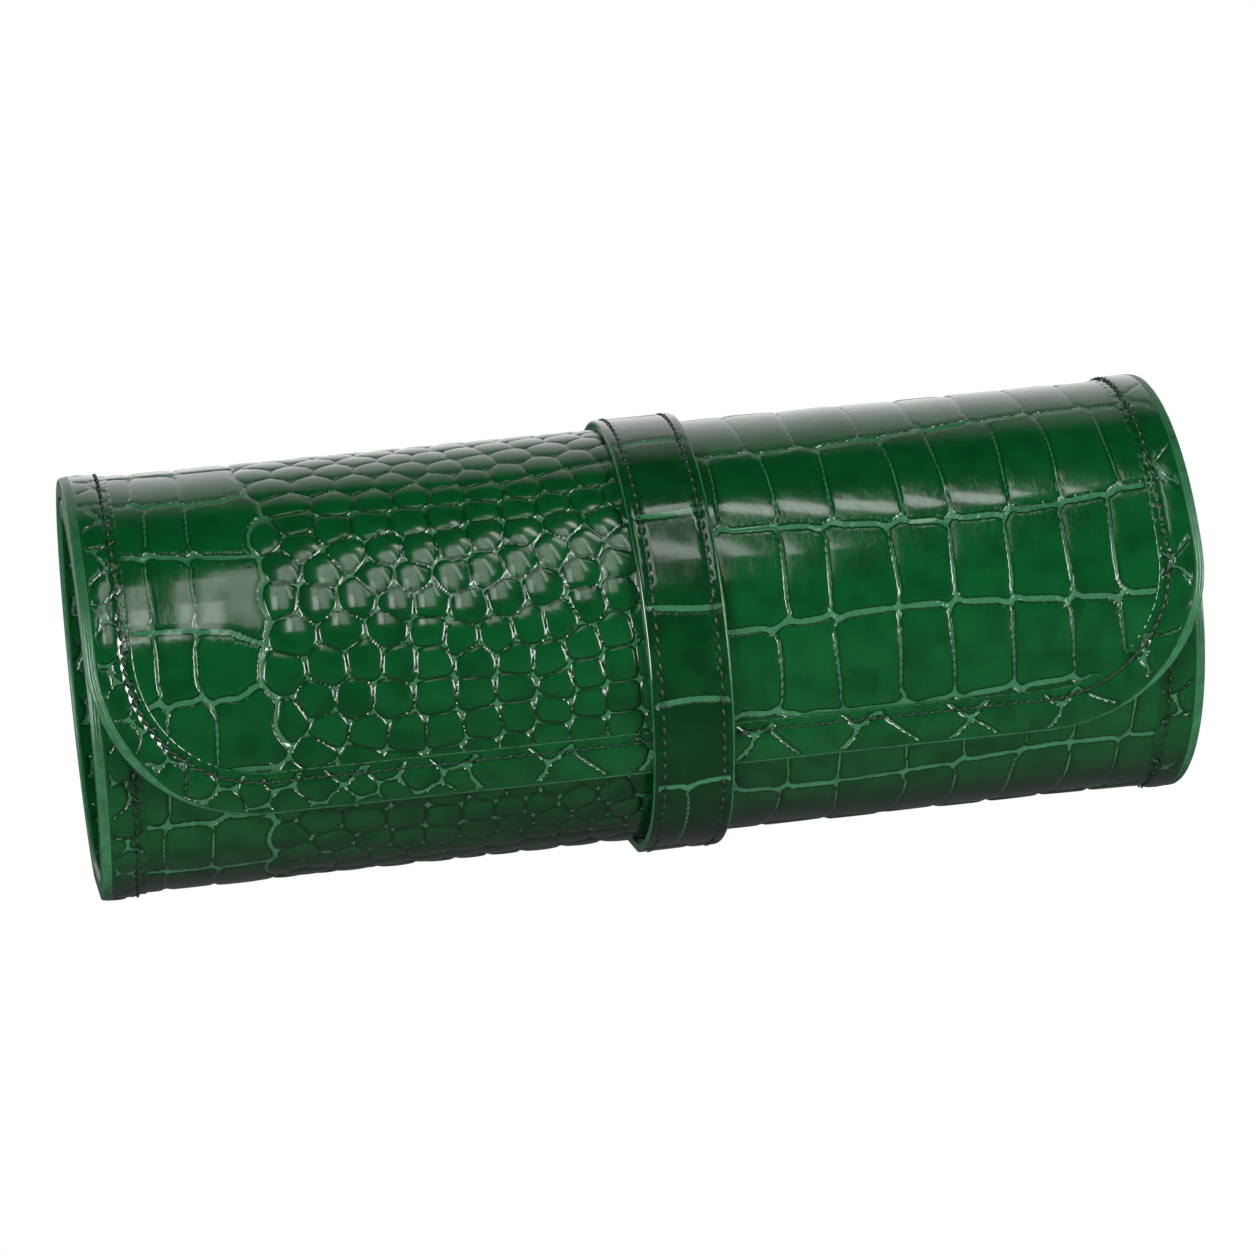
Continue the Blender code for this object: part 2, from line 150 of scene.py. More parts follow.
floor_shape = bmesh.new()
bmesh.ops.create_grid(floor_shape, x_segments=1, y_segments=1, size=TABLE_SIZE / 2)
floor_mesh = bpy.data.meshes.new("floor")
floor_shape.to_mesh(floor_mesh)
floor_shape.free()
floor = bpy.data.objects.new("floor", floor_mesh)
bpy.context.scene.collection.objects.link(floor)
floor_paint = plain_material("floor_white", (0.10, 0.10, 0.10), 0.9)[0]
floor_tree = floor_paint.node_tree
floor_ray = floor_tree.nodes.new("ShaderNodeLightPath").outputs
floor_place = split_place(floor_tree, "Object")
floor_aside = calculate(floor_tree, "ABSOLUTE", floor_place["X"])
floor_away = calculate(floor_tree, "ABSOLUTE", floor_place["Y"])
floor_flank = calculate(floor_tree, "MULTIPLY", ramp(floor_tree, floor_aside, TABLE_FLANK_RAMP),
                        ramp(floor_tree, floor_away, TABLE_FLANK_FADE))
floor_glow = calculate(floor_tree, "MULTIPLY_ADD", floor_ray["Is Glossy Ray"], floor_flank,
                       ramp(floor_tree, floor_away, TABLE_NEAR_RAMP))
floor_glow = calculate(floor_tree, "MULTIPLY_ADD", floor_ray["Is Diffuse Ray"], TABLE_FILL, floor_glow)
floor_lit = floor_tree.nodes.new("ShaderNodeEmission")
floor_tree.links.new(floor_glow, floor_lit.inputs["Strength"])
floor_white = floor_tree.nodes.new("ShaderNodeEmission")
floor_mix = floor_tree.nodes.new("ShaderNodeMixShader")
floor_tree.links.new(floor_ray["Is Camera Ray"], floor_mix.inputs["Fac"])
floor_tree.links.new(floor_lit.outputs["Emission"], floor_mix.inputs[1])
floor_tree.links.new(floor_white.outputs["Emission"], floor_mix.inputs[2])
floor_tree.links.new(floor_mix.outputs["Shader"], floor_tree.nodes["Material Output"].inputs["Surface"])
floor_mesh.materials.append(floor_paint)

world = bpy.data.worlds.new("room")
world.use_nodes = True
bpy.context.scene.world = world
room_tree = world.node_tree
room_ray = room_tree.nodes.new("ShaderNodeLightPath").outputs
room_place = split_place(room_tree, "Generated")
room_aside = calculate(room_tree, "ABSOLUTE", room_place["X"])
room_panel = ramp(room_tree, room_aside, SIDE_PANEL_RAMP)
for room_source, room_fade in zip((room_aside, room_place["Z"], room_place["Y"]), SIDE_PANEL_FADES):
    room_panel = calculate(room_tree, "MULTIPLY", room_panel, ramp(room_tree, room_source, room_fade))
room_glow = calculate(room_tree, "ADD", room_panel, ramp(room_tree, room_place["Y"], BACK_WALL_RAMP))
room_fill = ramp(room_tree, room_place["Z"], ROOM_FILL_RAMP)
room_soft = mix_colours(room_tree, room_ray["Is Diffuse Ray"], room_glow, room_fill)
room_seen = mix_colours(room_tree, room_ray["Is Camera Ray"], room_soft, (1, 1, 1))
room_tree.links.new(room_seen, room_tree.nodes["Background"].inputs["Color"])


# The lamps: five rectangular softboxes over the roll and in front of it, which the glazed leather shows
# as bright streaks. A row has a lamp's name, place, width, height and power.
ROLL_MIDDLE = Vector((0.0, 0.0, 0.045))
SOFTBOXES = (("left_softbox", (-0.028, -0.72, 0.74), 0.06, 0.28, 0.26),
             ("left_fill", (-0.028, -0.51, 0.90), 0.06, 0.25, 0.11),
             ("front_softbox", (0.065, -0.60, 0.845), 0.10, 0.61, 0.34),
             ("strap_softbox", (0.140, -0.52, 0.90), 0.03, 0.39, 0.17),
             ("top_softbox", (0.225, -0.32, 0.99), 0.06, 0.28, 0.28))

for name, place, width, height, power in SOFTBOXES:
    lamp_data = bpy.data.lights.new(name, "AREA")
    lamp_data.shape = "RECTANGLE"
    lamp_data.size = width
    lamp_data.size_y = height
    lamp_data.energy = power
    lamp = bpy.data.objects.new(name, lamp_data)
    bpy.context.scene.collection.objects.link(lamp)
    lamp.location = place
    lamp.rotation_euler = (ROLL_MIDDLE - Vector(place)).to_track_quat("-Z", "Y").to_euler()


# The outer panel: one sheet of embossed leather on a thin board, glued to its lining and rolled up
# one and a half turns. u is the place along the roll and v the distance from the flap's free edge,
# both in millimetres. Angles are in degrees round the roll. The underside is pressed flat.
FLAP_RADIUS_MM = 46.8
PITCH_MM = 4.6                   # the radius that a turn takes away
FLAP_ANGLE = -27.0
LINK_ANGLE = 54.0
LINKS = 10
BAND_MM = 9.8                    # width of the border band
BAND_TOP_MM = 1.0                # its height over the skin
CORNER_MM = 36.0
PRESSED_ANGLE = 15.0             # the underside is flat this far to both sides
FLAT_SHARE = math.cos(math.radians(PRESSED_ANGLE))
SIDE_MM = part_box("skin_back_upper")[1][0] * 1000
END_ANGLE = FLAP_ANGLE + LINKS * LINK_ANGLE
STRAP_MM = 2.0
STRAP_BAND_GAP_MM = 0.3
STRAP_SKIN_GAP_MM = 0.4
STRAP_STEP_ANGLE = 16.0          # from the flap's edge to where the strap comes down on the skin
STRAP_STEP_RUN_ANGLE = 30.0
TAIL_OFF_MM = 1.0
TAIL_RUN_ANGLE = 56.0
CAD_BAND_TOP_MM = 1.1


def skin_radius(angle):
    return FLAP_RADIUS_MM - PITCH_MM * (angle - FLAP_ANGLE) / 360


def ease(share):
    kept = np.clip(share, 0.0, 1.0)
    return kept * kept * (3 - 2 * kept)


def strap_radius(angle):
    """The strap's inner face: over the skin and the border band, then down to the body."""
    angle = np.asarray(angle, float)
    on_band = skin_radius(angle) + CAD_BAND_TOP_MM + STRAP_BAND_GAP_MM
    on_skin = skin_radius(angle) + STRAP_SKIN_GAP_MM
    on_body = skin_radius(angle + 360) + TAIL_OFF_MM
    step = ease((angle - FLAP_ANGLE - STRAP_STEP_ANGLE) / STRAP_STEP_RUN_ANGLE)
    upper = on_band + (on_skin - on_band) * step
    lower = on_band + (on_body - on_band) * ease((FLAP_ANGLE - angle) / TAIL_RUN_ANGLE)
    return np.where(angle >= FLAP_ANGLE, upper, lower)


AXIS_Z_MM = (strap_radius(-90.0) + STRAP_MM) * FLAT_SHARE
AXIS_Y_MM = (strap_radius(0.0) - strap_radius(180.0)) / 2


def angle_at(v):
    """Roll angle at a distance along the panel from the flap's free edge."""
    bend = PITCH_MM / 720
    root = np.sqrt(FLAP_RADIUS_MM ** 2 - 4 * bend * np.degrees(v))
    return FLAP_ANGLE + (FLAP_RADIUS_MM - root) / (2 * bend)


def length_at(angle):
    turned = np.asarray(angle, float) - FLAP_ANGLE
    return np.radians(turned) * (FLAP_RADIUS_MM - PITCH_MM * turned / 720)


def rolled(u, angle, height, layer=skin_radius):
    """Points at heights over a layer, in metres."""
    turn = np.radians(angle)
    radius = layer(angle) + height
    under = np.where(angle < 90.0, -90.0, 270.0)
    y = AXIS_Y_MM - radius * np.cos(turn)
    z = AXIS_Z_MM + np.maximum(radius * np.sin(turn), -(layer(under) + height) * FLAT_SHARE)
    return np.stack(np.broadcast_arrays(u, y, z), axis=-1) / 1000


def point_on(u, angle, layer=skin_radius):
    return tuple(float(value) for value in rolled(u, np.float64(angle), 0.0, layer))


# The panel's solids are stiff links. Each of its pieces here runs over one joint, from the middle of
# one link to the middle of the next.
LINK_NAMES = ["flap_tip", "flap_front", "flap_top", "back_upper", "back_lower", "base",
              "front_inner", "front_upper", "top_inner", "inner_end"]
SEGMENTS = LINKS - 1
# The last joint's span is a short one, from the zip's place to short of the ring bar.
LAST_BEND = (447.0, 471.0)


def segment_span(index):
    """Roll angles of the stretch of panel that bends over one joint."""
    start = FLAP_ANGLE + (0 if index == 0 else (index + 0.5) * LINK_ANGLE)
    end = END_ANGLE if index == SEGMENTS - 1 else FLAP_ANGLE + (index + 1.5) * LINK_ANGLE
    return start, end


def bend_segment(piece, index):
    angles = [FLAP_ANGLE + (link + 0.5) * LINK_ANGLE for link in (index, index + 1)]
    if index == SEGMENTS - 1:
        angles = LAST_BEND
    start, end = (point_on(0.0, angle) for angle in angles)
    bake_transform(piece)


# A grid of points becomes a smooth mesh. The outermost ring only serves the normals, so that a
# piece's shading runs on into the next piece.
def grid_faces(rows, columns, first=0):
    corner = first + np.arange(rows * columns).reshape(rows, columns)
    quads = np.stack([corner[:-1, :-1], corner[:-1, 1:], corner[1:, 1:], corner[1:, :-1]], axis=-1)
    return quads.reshape(-1, 4)


def grid_normals(points):
    along = np.gradient(points, axis=0)
    across = np.gradient(points, axis=1)
    normal = np.cross(across, along)
    return normal / np.maximum(np.linalg.norm(normal, axis=-1, keepdims=True), 1e-12)


def join_grids(name, grids, materials, attributes):
    """One mesh from several grids. Each grid has its points, its rings to drop at the start and end
    of its rows, a material number for each column and a dictionary of values for each point."""
    points, normals, faces, paints, values = [], [], [], [], {key: [] for key in attributes}
    first = 0
    for grid in grids:
        low, high = grid["drop"]
        keep = slice(low, grid["points"].shape[0] - high)
        kept = grid["points"][keep]
        normal = grid_normals(grid.get("smooth", grid["points"]))[keep]
        rows, columns = kept.shape[:2]
        quads = grid_faces(rows, columns, first)
        if grid.get("flip"):
            normal, quads = -normal, quads[:, ::-1]
        faces.append(quads)
        paint = np.broadcast_to(grid["paint"], (grid["points"].shape[0] - 1, columns - 1))
        paints.append(paint[low:low + rows - 1].ravel())
        points.append(kept.reshape(-1, 3))
        normals.append(normal.reshape(-1, 3))
        for key in attributes:
            value = np.broadcast_to(grid["values"].get(key, 0.0), grid["points"].shape[:2])
            values[key].append(value[keep].reshape(-1))
        first += rows * columns
    mesh = bpy.data.meshes.new(name)
    mesh.from_pydata(np.concatenate(points), [], np.concatenate(faces))
    mesh.polygons.foreach_set("material_index", np.concatenate(paints).astype(np.int32))
    mesh.polygons.foreach_set("use_smooth", np.ones(len(mesh.polygons), bool))
    for key in attributes:
        layer = mesh.attributes.new(key, "FLOAT", "POINT")
        layer.data.foreach_set("value", np.concatenate(values[key]).astype(np.float32))
    mesh.normals_split_custom_set_from_vertices(np.concatenate(normals).astype(np.float32))
    for material in materials:
        mesh.materials.append(material)
    piece = bpy.data.objects.new(name, mesh)
    bpy.context.scene.collection.objects.link(piece)
    return piece


# The embossing: rows of large oblong scales at both ends of the panel and small round ones in a
# wandering zone between them. A groove runs where two scales meet, wide and pebbled between rows of
# large scales and thin elsewhere. A large scale is outlined by seeds on both sides of its edges, a
# small one has a single seed. The border band is cut the other way, so its scales slant.
ROWS_RIGHT_MM = [-9.0, 12.0, 31.0, 51.0, 74.5] + [97.0 + 21.5 * row for row in range(18)]
ROWS_LEFT_MM = [-8.0, 8.5, 23.6, 38.5, 56.6, 73.8] + [91.0 + 17.0 * row for row in range(22)]
# A row's line has waves: size, length, start and turn from row to row.
WAVES_RIGHT = ((1.5, 17, 0.4, 2.1), (1.8, 45, 2.0, 0.7))
WAVES_LEFT = ((0.9, 11, 1.4, 1.1), (2.0, 30, 4.9, 0.2))
REACH_RIGHT_MM = (-20, 135)
REACH_LEFT_MM = (-135, -45)
REACH_SMALL_MM = (-92.0, 30)
COLUMN_RIGHT_MM = 12.8
COLUMN_LEFT_MM = 10.8
WIDTH_SHARES = (0.86, 1.16)      # the least and most of a scale's usual width
SHIFT_MM = 1.3
SMALL_SHIFT_MM = 1.1
SMALL_SCALE_MM = 7.4
SMALL_ROW_SHARE = 0.88
LEFT_GROWTH_SHARE = 0.28         # small scales grow towards the large ones on the left
LEFT_GROWTH_MM = 14
CLEAR_RIGHT_MM = 6.0             # from the zone's edge to the middle of a large scale
CLEAR_LEFT_MM = 5.0
SMALL_CLEAR_MM = 4.3             # from a small scale's seed to the large ones' seeds
SEED_IN_MM = 1.8                 # from a large scale's edge to its seeds
SEED_STEP_MM = 1.8
SETTLE_ROUNDS = 3
SETTLE_SHARE = 0.6
SPOTS_U_MM = (-100.0, 40.0)
SPOTS_PAST_MM = 8.0
NEAR_MM = 14
LEFT_NUMBERS = 5000              # scales are numbered on from here, on the left and in the zone
SMALL_NUMBERS = 10000
pattern_random = random.Random(7)


def oblong_seeds(lines, columns, low, high, waves, sway, number=0, zone=1.0):
    """Seeds of rows of oblong scales. The rows lie between lines at given places; the columns are
    lists of places, one list for each row."""
    seeds = []

    def line_at(row, u):
        return lines[row] + sum(size * math.sin(u / length + start + turn * row)
                                for size, length, start, turn in waves)

    def steps(start, end):
        return range(math.ceil(start / SEED_STEP_MM), math.floor(end / SEED_STEP_MM) + 1)

    for row in range(len(lines) - 1):
        edges = [edge for edge in columns[row] if low <= edge <= high]
        for left, right in zip(edges[:-1], edges[1:]):
            number += 1
            middle = (left + right) / 2
            for step in steps(left + SEED_IN_MM, right - SEED_IN_MM):
                u = step * SEED_STEP_MM
                seeds.append((u, line_at(row, u) + SEED_IN_MM, row, zone, number))
                seeds.append((u, line_at(row + 1, u) - SEED_IN_MM, row, zone, number))
            bottom = line_at(row, middle) + 1.6 * SEED_IN_MM
            top = line_at(row + 1, middle) - 1.6 * SEED_IN_MM
            for step in steps(bottom, top):
                v = step * SEED_STEP_MM
                for edge, way in ((left, 1), (right, -1)):
                    bow = sway * math.sin(v / 8.0 + edge * 0.7)
                    seeds.append((edge + bow + way * SEED_IN_MM, v, row, zone, number))
    return seeds


def column_places(start, step, low, high, rows, drift):
    """Column edges for each row, nearly in line from row to row."""
    places = []
    base = []
    edge = start
    while edge < high + step:
        base.append(edge)
        edge += step * pattern_random.uniform(*WIDTH_SHARES)
    edge = start
    while edge > low - step:
        edge -= step * pattern_random.uniform(*WIDTH_SHARES)
        base.insert(0, edge)
    for row in range(rows):
        shift = drift * math.sin(1.9 * row + start)
        places.append([edge + shift + pattern_random.uniform(-SHIFT_MM, SHIFT_MM) for edge in base])
    return places


def zone_edges(v):
    """Where the zone of small scales starts and ends at a distance from the flap's free edge."""
    left = -79 + 4 * math.sin(v / 30 - 2.3) + 2 * math.sin(v / 47 + 2.0)
    right = 5 + 5 * math.sin(v / 26 + 2.6) - 4 * math.sin(v / 61)
    return left, right


def large_seeds():
    """The seeds of the large scales on both sides that lie clear of the zone of small scales."""
    right_columns = column_places(15.0, COLUMN_RIGHT_MM, *REACH_RIGHT_MM, len(ROWS_RIGHT_MM), 1.5)
    left_columns = column_places(-93.5, COLUMN_LEFT_MM, *REACH_LEFT_MM, len(ROWS_LEFT_MM), 1.2)
    seeds = oblong_seeds(ROWS_RIGHT_MM, right_columns, *REACH_RIGHT_MM, WAVES_RIGHT, 0.5)
    seeds += oblong_seeds(ROWS_LEFT_MM, left_columns, *REACH_LEFT_MM, WAVES_LEFT, 0.4, LEFT_NUMBERS)
    places = {}
    for u, v, row, zone, number in seeds:
        places.setdefault(number, []).append((u, v))
    kept = set()
    for number, points in places.items():
        middle_u = sum(u for u, v in points) / len(points)
        middle_v = sum(v for u, v in points) / len(points)
        left_edge, right_edge = zone_edges(middle_v)
        if number < LEFT_NUMBERS and middle_u > right_edge + CLEAR_RIGHT_MM:
            kept.add(number)
        if number >= LEFT_NUMBERS and middle_u < left_edge - CLEAR_LEFT_MM:
            kept.add(number)
    return [seed for seed in seeds if seed[4] in kept]


def panel_seeds(length):
    """All the panel's seeds: place, row, zone (1 for large scales and 0 for small) and scale number."""
    seeds = large_seeds()
    large = np.array(seeds)[:, :2]
    row, number = 0, SMALL_NUMBERS
    v = -2 * SMALL_SCALE_MM
    while v < length + 2 * SMALL_SCALE_MM:
        u = REACH_SMALL_MM[0] + (SMALL_SCALE_MM / 2 if row % 2 else 0)
        while u < REACH_SMALL_MM[1]:
            place_v = (v + pattern_random.uniform(-SMALL_SHIFT_MM, SMALL_SHIFT_MM)
                       + 2.6 * math.sin(u / 17 + 0.8) + 1.5 * math.sin(u / 9 + row))
            place_u = u + pattern_random.uniform(-SHIFT_MM, SHIFT_MM)
            left_edge, right_edge = zone_edges(place_v)
            apart = np.hypot(*(large - (place_u, place_v)).T).min()
            if left_edge - 6 < place_u < right_edge + 6 and apart > SMALL_CLEAR_MM:
                number += 1
                seeds.append((place_u, place_v, 1000 + row, 0.0, number))
            growth = LEFT_GROWTH_SHARE * math.exp(-max(place_u - left_edge, 0) / LEFT_GROWTH_MM)
            size = SMALL_SCALE_MM * (1 + growth)
            u += size * pattern_random.uniform(*WIDTH_SHARES)
        row += 1
        v += SMALL_SCALE_MM * SMALL_ROW_SHARE
    return settled(np.array(seeds), length)


def settled(seeds, length):
    """The small scales' seeds moved towards the middles of their scales, a few times."""
    small = np.flatnonzero(seeds[:, 3] == 0)
    spots = np.meshgrid(np.arange(*SPOTS_U_MM), np.arange(-SPOTS_PAST_MM, length + SPOTS_PAST_MM))
    spot_u, spot_v = (spot.ravel() for spot in spots)
    for _ in range(SETTLE_ROUNDS):
        sums = np.zeros((len(seeds), 3))
        for chunk in np.array_split(np.arange(len(spot_u)), 60):
            low, high = spot_v[chunk].min() - NEAR_MM, spot_v[chunk].max() + NEAR_MM
            near = np.flatnonzero((seeds[:, 1] > low) & (seeds[:, 1] < high))
            square = (spot_u[chunk, None] - seeds[near, 0]) ** 2 + (spot_v[chunk, None] - seeds[near, 1]) ** 2
            owner = near[square.argmin(axis=1)]
            np.add.at(sums, owner, np.stack([spot_u[chunk], spot_v[chunk], np.ones(len(chunk))], -1))
        moved = small[sums[small, 2] > 8]
        seeds[moved, :2] += SETTLE_SHARE * (sums[moved, :2] / sums[moved, 2:] - seeds[moved, :2])
    return seeds


PANEL_MM = float(length_at(END_ANGLE))
PANEL_SEEDS = panel_seeds(PANEL_MM)
LARGE_DOME_MM = 0.06             # fall of a scale's face from its middle to its edge
SMALL_DOME_MM = 0.20
SCALE_LEAN = 0.03                # spread of the faces' slopes
SCALE_RISE_MM = 0.40
SCALE_EDGE_MM = 0.30             # a scale rises off the groove's floor over this distance
# Half of a groove's width between rows and within a row, and how tight the scales' corners are: for
# the panel's large scales, for the band's scales and for the small ones.
ROW_HALVES_MM = (0.42, 0.20, 0.03)
LINE_HALVES_MM = (0.07, 0.0, 0.03)
CORNER_TIGHTNESS = (3.2, 3.2, 2.3)
NO_GROOVE_MM = 3.0
FAR_MM = 1e3


def by_zone(zone, values):
    large, band, small = values
    return np.where(zone > 0.95, large, np.where(zone > 0.5, band, small))


def scale_field(a, b, seeds, reach=15.0):
    """For each point: distance to the groove round its scale, the share of that groove that lies
    between rows, the zone, a random tone for the scale, and the height of the scale's domed face."""
    shape = a.shape
    a = a.ravel()
    b = b.ravel()
    blocks = np.lexsort((a, np.floor(b / 6), np.floor(a / 40)))
    out = np.zeros((5, a.size))
    out[0] = NO_GROOVE_MM
    scales, scale = np.unique(seeds[:, 4], return_inverse=True)
    whole, source = np.unique(np.floor(scales), return_inverse=True)
    tones, lean_a, lean_b = np.random.RandomState(3).rand(3, len(whole))[:, source]
    low_a, low_b, high_a, high_b = np.full((4, len(scales)), 1e4) * [[1], [1], [-1], [-1]]
    for value, low, high in ((seeds[:, 0], low_a, high_a), (seeds[:, 1], low_b, high_b)):
        np.minimum.at(low, scale, value)
        np.maximum.at(high, scale, value)
    edge = np.where(high_a - low_a > 1, SEED_IN_MM, SMALL_SCALE_MM / 2)
    half_a, half_b = (high_a - low_a) / 2 + edge, (high_b - low_b) / 2 + edge
    middle_a, middle_b = (high_a + low_a) / 2, (high_b + low_b) / 2
    dome = np.where(high_a - low_a > 1, LARGE_DOME_MM, SMALL_DOME_MM)
    for chunk in np.array_split(blocks, max(1, a.size // 1200)):
        near = (seeds[:, 1] > b[chunk].min() - reach) & (seeds[:, 1] < b[chunk].max() + reach)
        near &= (seeds[:, 0] > a[chunk].min() - reach) & (seeds[:, 0] < a[chunk].max() + reach)
        own = seeds[near]
        if len(own) < 2:
            continue
        square = (a[chunk, None] - own[:, 0]) ** 2 + (b[chunk, None] - own[:, 1]) ** 2
        nearest = square.argmin(axis=1)
        picked = np.arange(len(chunk))
        apart = np.hypot(own[:, None, 0] - own[None, :, 0], own[:, None, 1] - own[None, :, 1]) + 1e-9
        same_scale = (own[:, 4][:, None] == own[None, :, 4])[nearest]
        border = (square - square[picked, nearest][:, None]) / (2 * apart[nearest])
        border[same_scale] = FAR_MM
        same_row = (own[:, 2][:, None] == own[None, :, 2])[nearest]
        zone = own[nearest, 3]
        row_half = by_zone(zone, ROW_HALVES_MM)[:, None]
        line_half = by_zone(zone, LINE_HALVES_MM)[:, None]
        tightness = by_zone(zone, CORNER_TIGHTNESS)[:, None]
        inset = border - np.where(same_row, line_half, row_half)
        inset[same_scale] = FAR_MM
        lowest = inset.min(axis=1, keepdims=True)
        share = np.exp(-tightness * np.minimum(inset - lowest, 12))
        row_distance = np.where(same_row, FAR_MM, border).min(axis=1)
        out[0, chunk] = lowest[:, 0] - np.minimum(np.log(share.sum(axis=1)) / tightness[:, 0], 0.7)
        out[1, chunk] = np.where(zone > 0.5, 1 - ease((row_distance - 0.3) / 1.3), 0.0)
        out[2, chunk] = zone
        which = scale[near][nearest]
        out[3, chunk] = tones[which]
        off_a, off_b = a[chunk] - middle_a[which], b[chunk] - middle_b[which]
        bulge = np.minimum((off_a / half_a[which]) ** 2 + (off_b / half_b[which]) ** 2, 2.0)
        lean = (lean_a[which] - 0.5) * off_a + (lean_b[which] - 0.5) * off_b
        out[4, chunk] = SCALE_LEAN * lean - dome[which] * bulge
    return [value.reshape(shape) for value in out]


def scale_wall(groove, rise):
    """A scale's rise over the groove's floor, steep at its edge."""
    return rise * (1 - np.exp(-np.maximum(groove, 0.0) / SCALE_EDGE_MM))


# The leather's finish: cast glossy and deep green, paler and more matt in the grooves, and with painted
# shade that darkens each scale towards its groove and in tick-like creases near the large scales' edges.
# The cut edges are filled and painted, and the seams are of waxed thread.
LEATHER_GREEN = (0.0007, 0.0435, 0.0091)
# the deep green serves both the scales' random tone and the painted shade at their edges
LEATHER_DEEP = (0.0003, 0.020, 0.0040)
GROOVE_GREEN = (0.008, 0.074, 0.027)
FACE_ROUGHNESS = 0.16
GROOVE_ROUGHNESS = 0.34
GLAZE = 0.75
GLAZE_ROUGHNESS = 0.07
SCALE_WALL_MM = 0.33             # a scale's wall falls off over this distance
LINE_DEPTH_SHARE = 0.5           # the lines within a row are this deep, beside those between rows
GRAINS_PER_MM = 1.5
GRAIN_DEPTH = 0.00018
CREASE_DEPTH = 0.00005
UNEVEN_DEPTH = 0.00010
EDGE_GREEN = (0.010, 0.072, 0.029)
EDGE_DEEP = (0.006, 0.050, 0.019)
THREAD_GREEN = (0.0015, 0.016, 0.008)


def attribute(tree, name):
    made = tree.nodes.new("ShaderNodeAttribute")
    made.attribute_name = name
    return made.outputs["Fac"]


def noise(tree, vector, scale, detail=2.0):
    made = tree.nodes.new("ShaderNodeTexNoise")
    made.inputs["Scale"].default_value = scale
    made.inputs["Detail"].default_value = detail
    tree.links.new(vector, made.inputs["Vector"])
    return made.outputs["Fac"]


def flat_vector(tree, stretch_u=1.0, stretch_v=1.0):
    """The flat pattern's coordinates in millimetres, kept on each point."""
    joined = tree.nodes.new("ShaderNodeCombineXYZ")
    for axis, key, stretch in (("X", "flat_u", stretch_u), ("Y", "flat_v", stretch_v)):
        tree.links.new(calculate(tree, "MULTIPLY", attribute(tree, key), stretch), joined.inputs[axis])
    return joined.outputs["Vector"]


def add_bump(tree, surface, height, distance, before=None):
    made = tree.nodes.new("ShaderNodeBump")
    made.inputs["Strength"].default_value = 1.0
    made.inputs["Distance"].default_value = distance
    tree.links.new(height, made.inputs["Height"])
    if before is not None:
        tree.links.new(before, made.inputs["Normal"])
    tree.links.new(made.outputs["Normal"], surface.inputs["Normal"])
    return made.outputs["Normal"]


def colour_between(tree, surface, share, first, second):
    tree.links.new(mix_colours(tree, share, first, second), surface.inputs["Base Color"])


def shaded(colour, share):
    return tuple(min(1.0, share * part) for part in colour)


def embossed_material(name):
    made, surface = plain_material(name, LEATHER_GREEN, FACE_ROUGHNESS)
    tree = made.node_tree
    groove = attribute(tree, "groove")
    pebble = attribute(tree, "pebble")
    zone = attribute(tree, "zone")
    fine = flat_vector(tree)
    cloud = noise(tree, fine, 0.16, 3.0)
    ticks = noise(tree, flat_vector(tree, 1.6, 0.30), 1.0, 3.0)
    # painted shade: the colour darkens next to each groove, and in tick-like creases near the large scales'
    # edges
    rim = calculate(tree, "MULTIPLY", remap(tree, groove, 3.2, 0.4), remap(tree, ticks, 0.50, 0.72))
    rim = calculate(tree, "MULTIPLY", rim, calculate(tree, "MULTIPLY", zone, 0.55))
    rim = calculate(tree, "MAXIMUM", rim, remap(tree, groove, 0.75, 0.15, 0.0, 0.9))
    depth = calculate(tree, "ADD", calculate(tree, "MULTIPLY", attribute(tree, "tone"), 0.28),
                      remap(tree, cloud, 0.35, 0.75, 0.0, 0.5))
    depth = calculate(tree, "MAXIMUM", calculate(tree, "MINIMUM", depth, 1.0), rim)
    body = mix_colours(tree, depth, LEATHER_GREEN, LEATHER_DEEP)
    colour_between(tree, surface, remap(tree, groove, -0.12, 0.08), GROOVE_GREEN, body)
    roughness = remap(tree, groove, -0.3, 0.3, GROOVE_ROUGHNESS, FACE_ROUGHNESS)
    tree.links.new(roughness, surface.inputs["Roughness"])
    surface.inputs["Coat Weight"].default_value = GLAZE
    surface.inputs["Coat Roughness"].default_value = GLAZE_ROUGHNESS
    wall = calculate(tree, "MULTIPLY", calculate(tree, "MAXIMUM", groove, 0.0), -1 / SCALE_WALL_MM)
    deep = calculate(tree, "MAXIMUM", pebble, calculate(tree, "LESS_THAN", zone, 0.95))
    wall = calculate(tree, "MULTIPLY", calculate(tree, "EXPONENT", wall),
                     calculate(tree, "MAXIMUM", deep, LINE_DEPTH_SHARE))
    cells = tree.nodes.new("ShaderNodeTexVoronoi")
    cells.feature = "SMOOTH_F1"
    cells.inputs["Scale"].default_value = GRAINS_PER_MM
    tree.links.new(fine, cells.inputs["Vector"])
    grain = calculate(tree, "MULTIPLY", cells.outputs["Distance"], calculate(tree, "MULTIPLY", pebble, -1.0))
    bump = None
    for height, distance in ((calculate(tree, "SUBTRACT", 1.0, wall), SCALE_RISE_MM / 1000),
                             (grain, GRAIN_DEPTH), (calculate(tree, "MULTIPLY", ticks, rim), CREASE_DEPTH),
                             (noise(tree, fine, 0.20, 2.0), UNEVEN_DEPTH)):
        bump = add_bump(tree, surface, height, distance, bump)
    return made


def painted_edge_material():
    made, surface = plain_material("painted_edge", EDGE_GREEN, 0.30)
    tree = made.node_tree
    shade = noise(tree, flat_vector(tree), 0.5, 2.0)
    colour_between(tree, surface, remap(tree, shade, 0.3, 0.7), EDGE_GREEN, EDGE_DEEP)
    add_bump(tree, surface, noise(tree, flat_vector(tree), 1.3, 3.0), 0.00008)
    return made


